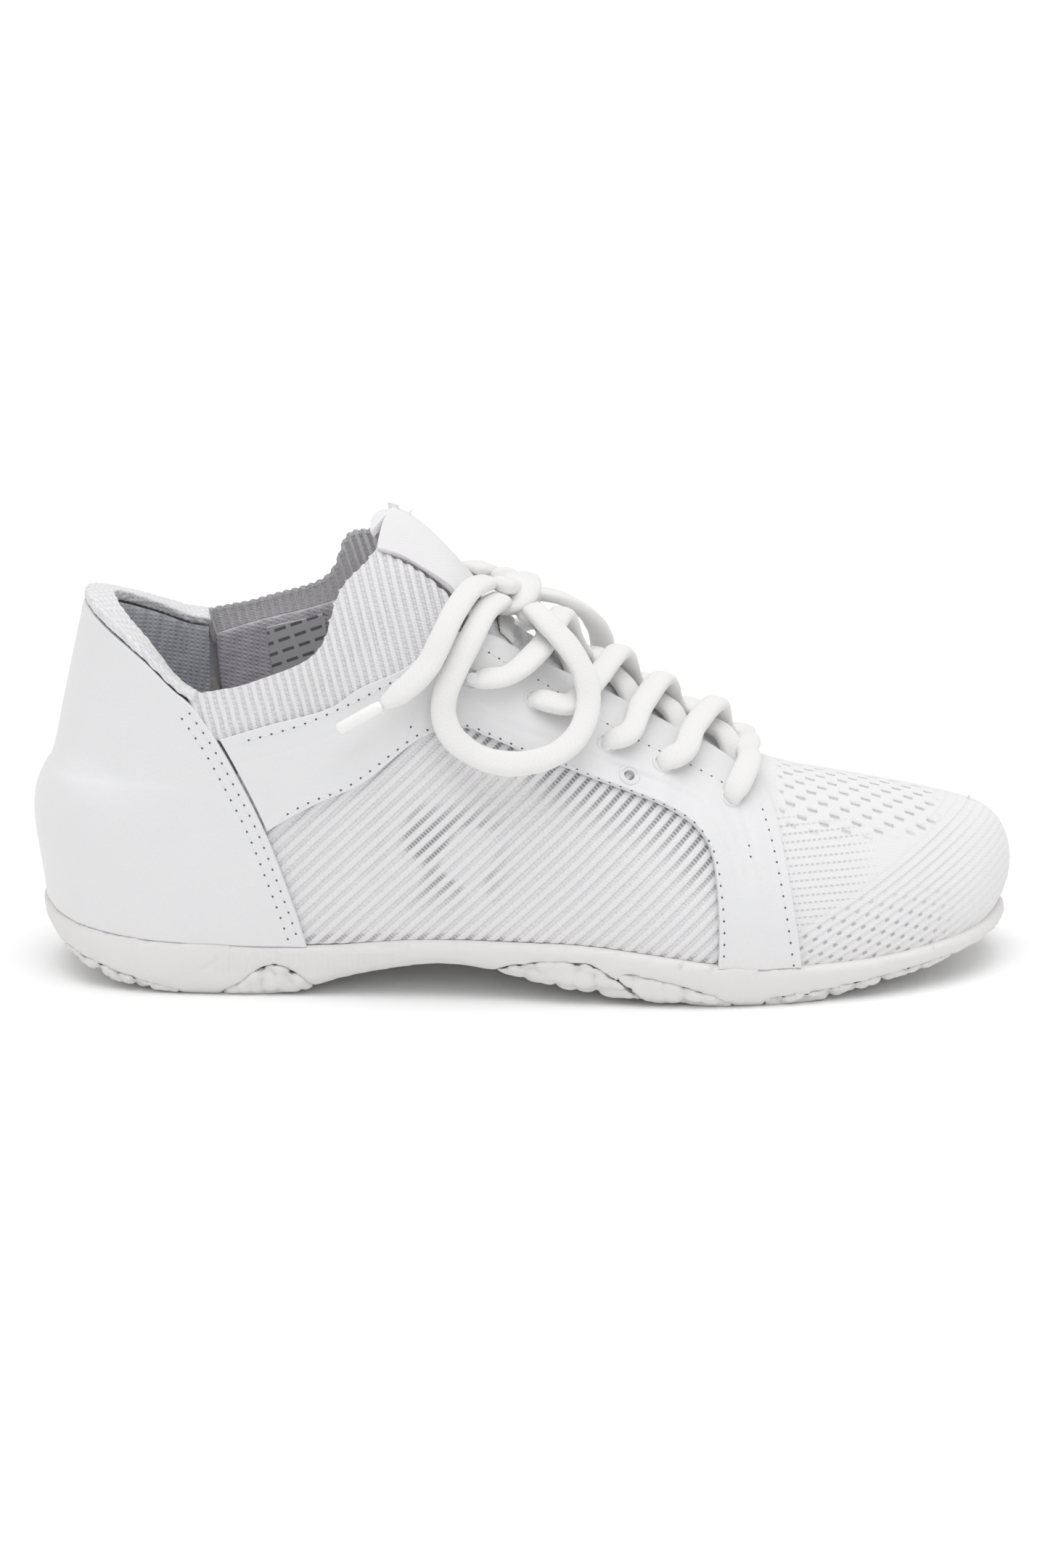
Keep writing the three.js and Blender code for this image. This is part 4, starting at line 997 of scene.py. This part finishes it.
def roll_knit(c, n):
    x, y, z = c.T
    loops = np.abs(np.sin((x + y) * 1.35)) * np.abs(np.sin((x - y) * 1.35 + z))
    # Valleys: painted shade between the loops.
    return 0.28 * loops, {"valley": 0.4 * (1 - loops) ** 2}


def rounded_copy(name, node, edge_mm, segments=2, levels=1):
    """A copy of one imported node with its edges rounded, then refined."""
    piece = merged_copy(name, node)
    modify(piece, "BEVEL", width=edge_mm * MM, segments=segments, limit_method="ANGLE")
    if levels:
        finer(piece, levels)
    return piece


heel_lining = outer_face("heel_lining_pique", "heel_lining", facing=0.5, inner=True)
finer(heel_lining, 3)
shape(heel_lining, pique)
thicken(heel_lining, LINING_THICKNESS, 0.2, 1)
dress(heel_lining, lining_cloth, "lining_textile", "heel_lining")
for side in ("lateral", "medial"):
    lining = outer_face(f"side_lining_{side}_cloth", f"side_lining_{side}", facing=0.6, inner=True)
    finer(lining, 3)
    shape(lining, pique)
    thicken(lining, LINING_THICKNESS, 0.2, 1)
    dress(lining, side_cloth, "lining_textile", f"side_lining_{side}")
roll = rounded_copy("collar_roll_knit", "collar_roll", 1.1, segments=3, levels=3)
shape(roll, roll_knit)
only(roll)
bpy.ops.object.shade_smooth()
dress(roll, roll_cloth, "lining_textile", "collar_roll")
foam = rounded_copy("collar_foam_pad", "collar_foam", 0.9)
only(foam)
bpy.ops.object.shade_smooth()
dress(foam, sponge, "foam", "collar_foam")
PLATES = {"insole": (side_cloth, "lining_textile"), "lasting_board": (board, "stiffener_board"),
          "toe_puff": (board, "stiffener_board")}
for node, (finish, slot) in PLATES.items():
    plate = rounded_copy(f"{node}_layer", node, 0.4)
    note(plate, "valley", np.zeros(len(plate.data.vertices)))
    only(plate)
    bpy.ops.object.shade_smooth_by_angle(angle=math.radians(40))
    dress(plate, finish, slot, node, body=None)
    bend_toe(plate)
stiffener = frame["nodes"]["heel_stiffener"].data
stiffener.materials.clear()
stiffener.materials.append(board.material)
label = rounded_copy("size_label_tape", "size_label", 0.12, segments=1, levels=0)
only(label)
bpy.ops.object.shade_smooth_by_angle(angle=math.radians(40))
dress(label, tape, "label_tape", "size_label")

# %% [markdown]
# The sole is one moulding of rubber. Its wall is smooth, with a fine ribbed band at the waist and
# one shallow arc at the heel, and its treads are crowded with soft round lugs like pebbles. The
# packed sole is cut into blocks, so the wall is rebuilt as one skin by remeshing the two blocks
# together at a fine pitch. Only the ribbed band is refined again.
# %% Sole
WALL_VOXEL = 1.1
RIM_RISE = 0.5             # mm that the rim rises to meet the upper
FULL = 0.34                # mm that rubber swells out to close the gaps between the blocks
BAND_X, BAND_Z = (47, 99), (6.0, 12.6)
BAND_PITCH, BAND_DEPTH = 1.7, 0.3
ARC_TOP, ARC_DROP = 12.6, 9.0                # the arc's ends are this high, and it sags this far
ARC_MIDDLE, ARC_HALF = 32, 20
ARC_DEPTH = 0.3


def remeshed(name, voxel, *nodes):
    piece = merged_copy(name, *nodes)
    modify(piece, "REMESH", mode="VOXEL", voxel_size=voxel * MM, use_smooth_shade=True)
    modify(piece, "SMOOTH", factor=0.5, iterations=3)
    return piece


def sole_wall(c, n):
    on_wall = step(np.hypot(n[:, 0], n[:, 1]), 0.75, 0.95)
    band = (step(c[:, 0], BAND_X[0], BAND_X[0] + 2) * step(BAND_X[1] - c[:, 0], 0, 2)
            * step(c[:, 2], BAND_Z[0], BAND_Z[0] + 1) * step(BAND_Z[1] - c[:, 2], 0, 1) * on_wall)
    ribs = np.abs(np.cos(math.pi * c[:, 0] / BAND_PITCH)) ** 2
    sag = ARC_TOP - ARC_DROP * (1 - ((c[:, 0] - ARC_MIDDLE) / ARC_HALF) ** 2)
    arc = np.exp(-((c[:, 2] - sag) / 0.7) ** 2) * step(c[:, 0], 12, 15) * step(52 - c[:, 0], 0, 3) * on_wall
    lip = RIM_RISE * step(n[:, 2], 0.5, 0.9)
    return FULL + lip - BAND_DEPTH * band * ribs - ARC_DEPTH * arc + 0.05 * ripple(c, 30, 30), {}


midsole = remeshed("midsole_moulding", WALL_VOXEL, "midsole_rear", "midsole_toe")
finer_where(midsole, lambda c, n: (c[:, 0] > BAND_X[0] - 2) & (c[:, 0] < BAND_X[1] + 2)
            & (c[:, 2] < BAND_Z[1] + 1.5) & (np.abs(n[:, 1]) > 0.6))
shape(midsole, sole_wall)
# Painted shade: the wall is noted darker towards its bottom, next to the floor.
note(midsole, "low", step(12 - drawn([v.co for v in midsole.data.vertices])[:, 2], 0, 12) * 0.5)
dress(midsole, rubber, "sole_rubber", "midsole_rear", "midsole_toe", body=None)
bend_toe(midsole)
print("midsole has", len(midsole.data.polygons), "faces")

# %% [markdown]
# A tread is left as a block by the packing, and its lugs are raised on it. The lugs lie a little off an
# even grid, as pebbles do, and the hollow between them is noted, so that it gets painted shade.
# %% Treads
TREAD_VOXEL = 0.6
SCATTER = np.array([[127.1, 311.7, 74.7], [269.5, 183.3, 246.1], [113.5, 271.9, 124.6]])
SCATTER_SIZE = 437.5       # with SCATTER it makes an even spread of shares from whole numbers
LUG_DRIFT = 0.34           # share of its size by which a lug's middle may lie off its place


def lugs(size, depth):
    """Round lugs packed at a size, as a rule for shape: high in each middle, low between."""
    def rule(c, n):
        cell = np.floor(c / size)
        nearest = np.full(len(c), np.inf)
        for offset in np.ndindex(3, 3, 3):
            k = cell + np.array(offset) - 1
            seed = np.sin(k @ SCATTER) * SCATTER_SIZE
            centre = (k + 0.5 + LUG_DRIFT * (2 * (seed - np.floor(seed)) - 1)) * size
            nearest = np.minimum(nearest, np.linalg.norm(c - centre, axis=1))
        dome = np.sqrt(np.clip(1 - (nearest / (0.72 * size)) ** 2, 0, 1))
        wall = step(c[:, 2], 0.3, 1.2)
        # The hollows between lugs are noted low, for painted shade.
        return FULL + depth * (dome - 0.75) * wall, {"low": (1 - dome) * 0.5}
    return rule


LUGS = {"heel_rear_tread": (3.4, 1.6), "heel_front_tread": (3.6, 1.4), "ball_rear_tread": (4.8, 1.5),
        "ball_front_tread": (4.4, 1.1), "toe_tread": (3.4, 1.6)}
for node, (size, depth) in LUGS.items():
    tread = remeshed(f"{node}_lugs", TREAD_VOXEL, node)
    shape(tread, lugs(size, depth))
    modify(tread, "SMOOTH", factor=0.4, iterations=1)
    dress(tread, rubber, "sole_rubber", node, body=None if node == "toe_tread" else "shoe")
    if node == "toe_tread":
        bend_toe(tread)
    print(tread.name, len(tread.data.polygons), "faces")

# %% [markdown]
# The lace comes up through each eyelet, lies over the edge of the eyestay, crosses the tongue
# and dives under the other eyestay. At an eyelet it is gathered to half its width. The last
# pass is a straight bar at the toe end.
# %% Laces in the eyelets
OVER = {
    1: {"lateral": [(125.5, -30.6, 86), (134, -20, 90.5), (140.5, -3.5, 96.5), (143.5, 3, 88)],
        "medial": [(125.5, 24.5, 86), (134, 14.5, 90), (137, -2, 91), (141.5, -7.5, 87.5)]},
    2: {"lateral": [(142, -27, 77.5), (149, -17, 82), (156, -2.5, 86), (159, 3, 77.5)],
        "medial": [(142, 22.5, 77.5), (149, 12.5, 82), (153, -1.5, 80.5), (157, -7, 77.5)]},
    3: {"lateral": [(157.5, -26, 69.5), (161.5, -15, 75), (167.5, -2, 78.5), (170, 3.5, 70.5)],
        "medial": [(157.5, 22.5, 69.5), (161.5, 11.5, 75), (165, -1, 73), (169.5, -6.5, 70.5)]},
    4: {"lateral": [(172, -23.5, 64), (175, -14, 68), (181.5, -1.5, 71.5), (183.5, 4.5, 64)],
        "medial": [(171.5, 21, 64), (175, 12, 68), (179, -0.5, 66), (183.5, -5.5, 64)]},
}
BAR = [(189.5, -17, 59.5), (189.5, -7, 60.5), (190, -0.5, 61), (189.5, 6.5, 60.5), (189, 16.5, 59.5)]
GATHER = 7.0               # mm over which the lace narrows at an eyelet
START, RISE = -3.5, 0.6    # a lace starts inside the shoe and clears the leather by this, in mm


def through_eyelet(side, number):
    """Points from inside the shoe up through an eyelet."""
    hit, normal = SPOTS[side][number - 1]
    return [tuple(drawn([hit + normal * d * MM])[0]) for d in (START, RISE)]


for number, pair in OVER.items():
    for side, points in pair.items():
        dive = 1 if side == "lateral" else -1
        x, y, z = points[-1]
        under = [(x + 2.5, y + 3 * dive, z - 5), (x + 4.5, y + 6 * dive, z - 11)]
        whole = through_eyelet(side, number) + points + under
        strand, _, length = woven_lace(f"lace_pass_{number}_{side}", whole, taper=(GATHER, GATHER / 2))
        dress(strand, lace_cloth, "lace_cotton", f"lace_strand_{number}_{side}")
        print(strand.name, round(length), "mm")
whole = through_eyelet("lateral", 5) + BAR + through_eyelet("medial", 5)[::-1]
strand, _, length = woven_lace("lace_pass_5_bar", whole, taper=(GATHER, GATHER))
dress(strand, lace_cloth, "lace_cotton", "lace_strand_5")
print(strand.name, round(length), "mm")

# %% [markdown]
# The knot is the middle of the bow: the lace goes once round its own crossing, and is pulled
# tight. It is made of two short passes that lie side by side and one that wraps them both.
# %% Knot and keeper
FALL = math.radians(38)          # the instep falls towards the toe here
DOWN_SLOPE = np.array([math.cos(FALL), 0, -math.sin(FALL)])
OFF_SLOPE = np.array([math.sin(FALL), 0, math.cos(FALL)])
ACROSS = np.array([0, 1, 0])


def from_knot(points):
    """Points given as mm down the slope, across it and off it, from the middle of the knot."""
    return [tuple(np.array(KNOT) + DOWN_SLOPE * x + ACROSS * y + OFF_SLOPE * o) for x, y, o in points]


def round_knot(start, finish, wide, high, shift):
    """Points of a turn of lace round the knot, in the plane across the instep."""
    turns = np.radians(np.linspace(start, finish, 22))
    return from_knot([(shift * (a / math.pi - 1), wide * math.cos(a), high * math.sin(a)) for a in turns])


WRAP_WIDTH, PASS_WIDTH, KNOT_THICKNESS = 10.4, 7.4, 4.6
PASSES = {"pass_a": [(-6.5, -10.5, 1.5), (-3.5, -6, 2.2), (0, 0, 1.2), (3, 6, 1.5), (5, 11, 0)],
          "pass_b": [(6.5, -10.5, 0), (3.5, -6, 0.4), (0, 0, -0.9), (-3, 6, 0), (-6, 9, 2.5)]}
wraps = [woven_lace("bow_knot_wrap", round_knot(-170, 230, 7.0, 4.0, 1.6), WRAP_WIDTH, KNOT_THICKNESS)[0]]
for name, points in PASSES.items():
    wraps.append(woven_lace(name, from_knot(points), PASS_WIDTH, KNOT_THICKNESS)[0])
only(wraps[0])
for wrap in wraps:
    wrap.select_set(True)
bpy.ops.object.join()
knot = bpy.context.view_layer.objects.active
knot.name = "bow_knot_turns"
dress(knot, lace_cloth, "lace_cotton", "bow_knot")
KEEPER_PITCH, KEEPER_DEPTH = 1.6, 0.3


def keeper_weave(c, n):
    groove = np.abs(np.cos(math.pi * c[:, 1] / KEEPER_PITCH)) ** 3
    # The keeper's grooves are noted as valleys, for painted shade.
    return -KEEPER_DEPTH * groove, {"valley": groove}


keeper = outer_face("lace_keeper_loop", "lace_keeper", facing=0.5)
finer(keeper, 4)
shape(keeper, keeper_weave)
thicken(keeper, 0.8, 0.2)
dress(keeper, lace_cloth, "lace_cotton", "lace_keeper")
print("the knot has", len(knot.data.polygons), "faces")

# %% [markdown]
# What makes leather look sewn is its thread: short raised stitches in even rows, each with a needle hole at
# its ends. A hole is drawn as a small dark bead, painted shade where the needle went in. One stitch and one
# hole are modelled, then set along each seam by dropping the seam's line onto the finished leather.
# %% Stitching
STITCH_PITCH = 3.1
STITCH_LENGTH, STITCH_WIDTH = 1.5, 0.4
HOLE_SIZE = 0.72
BEAD_DEPTH, LIFT = 0.3, 0.02                 # mm deep, and off the leather or into it


def model_once(size):
    """Corners and faces of one small bead of a size in mm."""
    bpy.ops.object.select_all(action="DESELECT")
    bpy.ops.mesh.primitive_uv_sphere_add(segments=8, ring_count=6, radius=0.5)
    one = bpy.context.object
    one.scale = Vector(size) * MM
    bpy.ops.object.transform_apply(scale=True)
    corners = np.array([v.co for v in one.data.vertices])
    faces = [list(f.vertices) for f in one.data.polygons]
    bpy.data.objects.remove(one)
    return corners, faces


STITCH = model_once((STITCH_LENGTH, STITCH_WIDTH, BEAD_DEPTH))
HOLE = model_once((HOLE_SIZE, HOLE_SIZE * 0.8, BEAD_DEPTH))


def seam_places(points, tree, side, pitch, offset=0.0):
    """Even places along a seam drawn in side view: point, run and normal of each, in metres."""
    line, _ = route([(x, 0, z) for x, z in points], 0.5)
    hits = [surface_at(tree, x, z, side) for x, _, z in line]
    spots = np.array([hit for hit, _ in hits])
    normals = np.array([normal for _, normal in hits])
    far = np.concatenate([[0], np.cumsum(np.linalg.norm(np.diff(spots, axis=0), axis=1))]) / MM
    stops = np.arange(pitch / 2 + offset, far[-1], pitch)
    even = np.column_stack([np.interp(stops, far, spots[:, k]) for k in range(3)])
    up = np.column_stack([np.interp(stops, far, normals[:, k]) for k in range(3)])
    up /= np.linalg.norm(up, axis=1)[:, None]
    ahead = np.column_stack([np.interp(stops + 0.5, far, spots[:, k]) for k in range(3)])
    run = ahead - even
    run -= (run * up).sum(1)[:, None] * up
    return even, run / (np.linalg.norm(run, axis=1)[:, None] + 1e-12), up


def set_along(name, shape_once, places, lift):
    """One mesh with a copy of a small shape at each place."""
    corners, faces = shape_once
    co, out = [], []
    for spot, run, up in places:
        side = np.cross(up, run)
        base = len(co) * len(corners)
        turned = corners[:, :1] * run + corners[:, 1:2] * side + corners[:, 2:] * up
        co.append(spot + up * lift * MM + turned)
        out += [[base + i for i in f] for f in faces]
    mesh = bpy.data.meshes.new(name)
    mesh.from_pydata(np.vstack(co).tolist(), [], out)
    piece = bpy.data.objects.new(name, mesh)
    bpy.context.scene.collection.objects.link(piece)
    only(piece)
    bpy.ops.object.shade_smooth()
    return piece


# Rows of stitching, each a line beside an outline, and short bars that hold the corners
STRAP_BAR = [(99.5, 70.5), (101.5, 75.5)]
BAND_BAR = [(188.6, 43.5), (189.4, 38.5)]
SEAMS = {
    "heel_wrap": [beside(WRAP_FRONT, -1.9), beside(WRAP_FRONT, -4.4)],
    "collar_strap": [beside(STRAP_TOP, -1.4)[1:], beside(STRAP_BOTTOM, 1.4)[1:], STRAP_BAR],
    "eyestay": [beside(STAY_BOTTOM, 1.4), beside(THROAT, -2.2), beside(BAND_FRONT, -1.3), BAND_BAR],
}
PIECES = {"heel_wrap": "heel_wrap_leather", "collar_strap": "collar_strap_{}_leather",
          "eyestay": "eyestay_{}_leather"}
for side, sign in (("lateral", -1), ("medial", 1)):
    places, holes = [], []
    for panel, lines in SEAMS.items():
        tree = tree_of(bpy.data.objects[PIECES[panel].format(side)].data)
        for points in lines:
            places += list(zip(*seam_places(points, tree, sign, STITCH_PITCH)))
            holes += list(zip(*seam_places(points, tree, sign, STITCH_PITCH, STITCH_PITCH / 2)))
    # The second row is dark beads: painted shade in the needle holes.
    for name, once, spots, lift, finish in ((f"stitches_{side}", STITCH, places, LIFT, thread),
                                            (f"needle_holes_{side}", HOLE, holes, -LIFT, needle_hole_shade)):
        row = set_along(name, once, spots, lift)
        dress(row, finish, "synthetic_leather", body=None)
        bend_toe(row)
        print(name, len(spots))
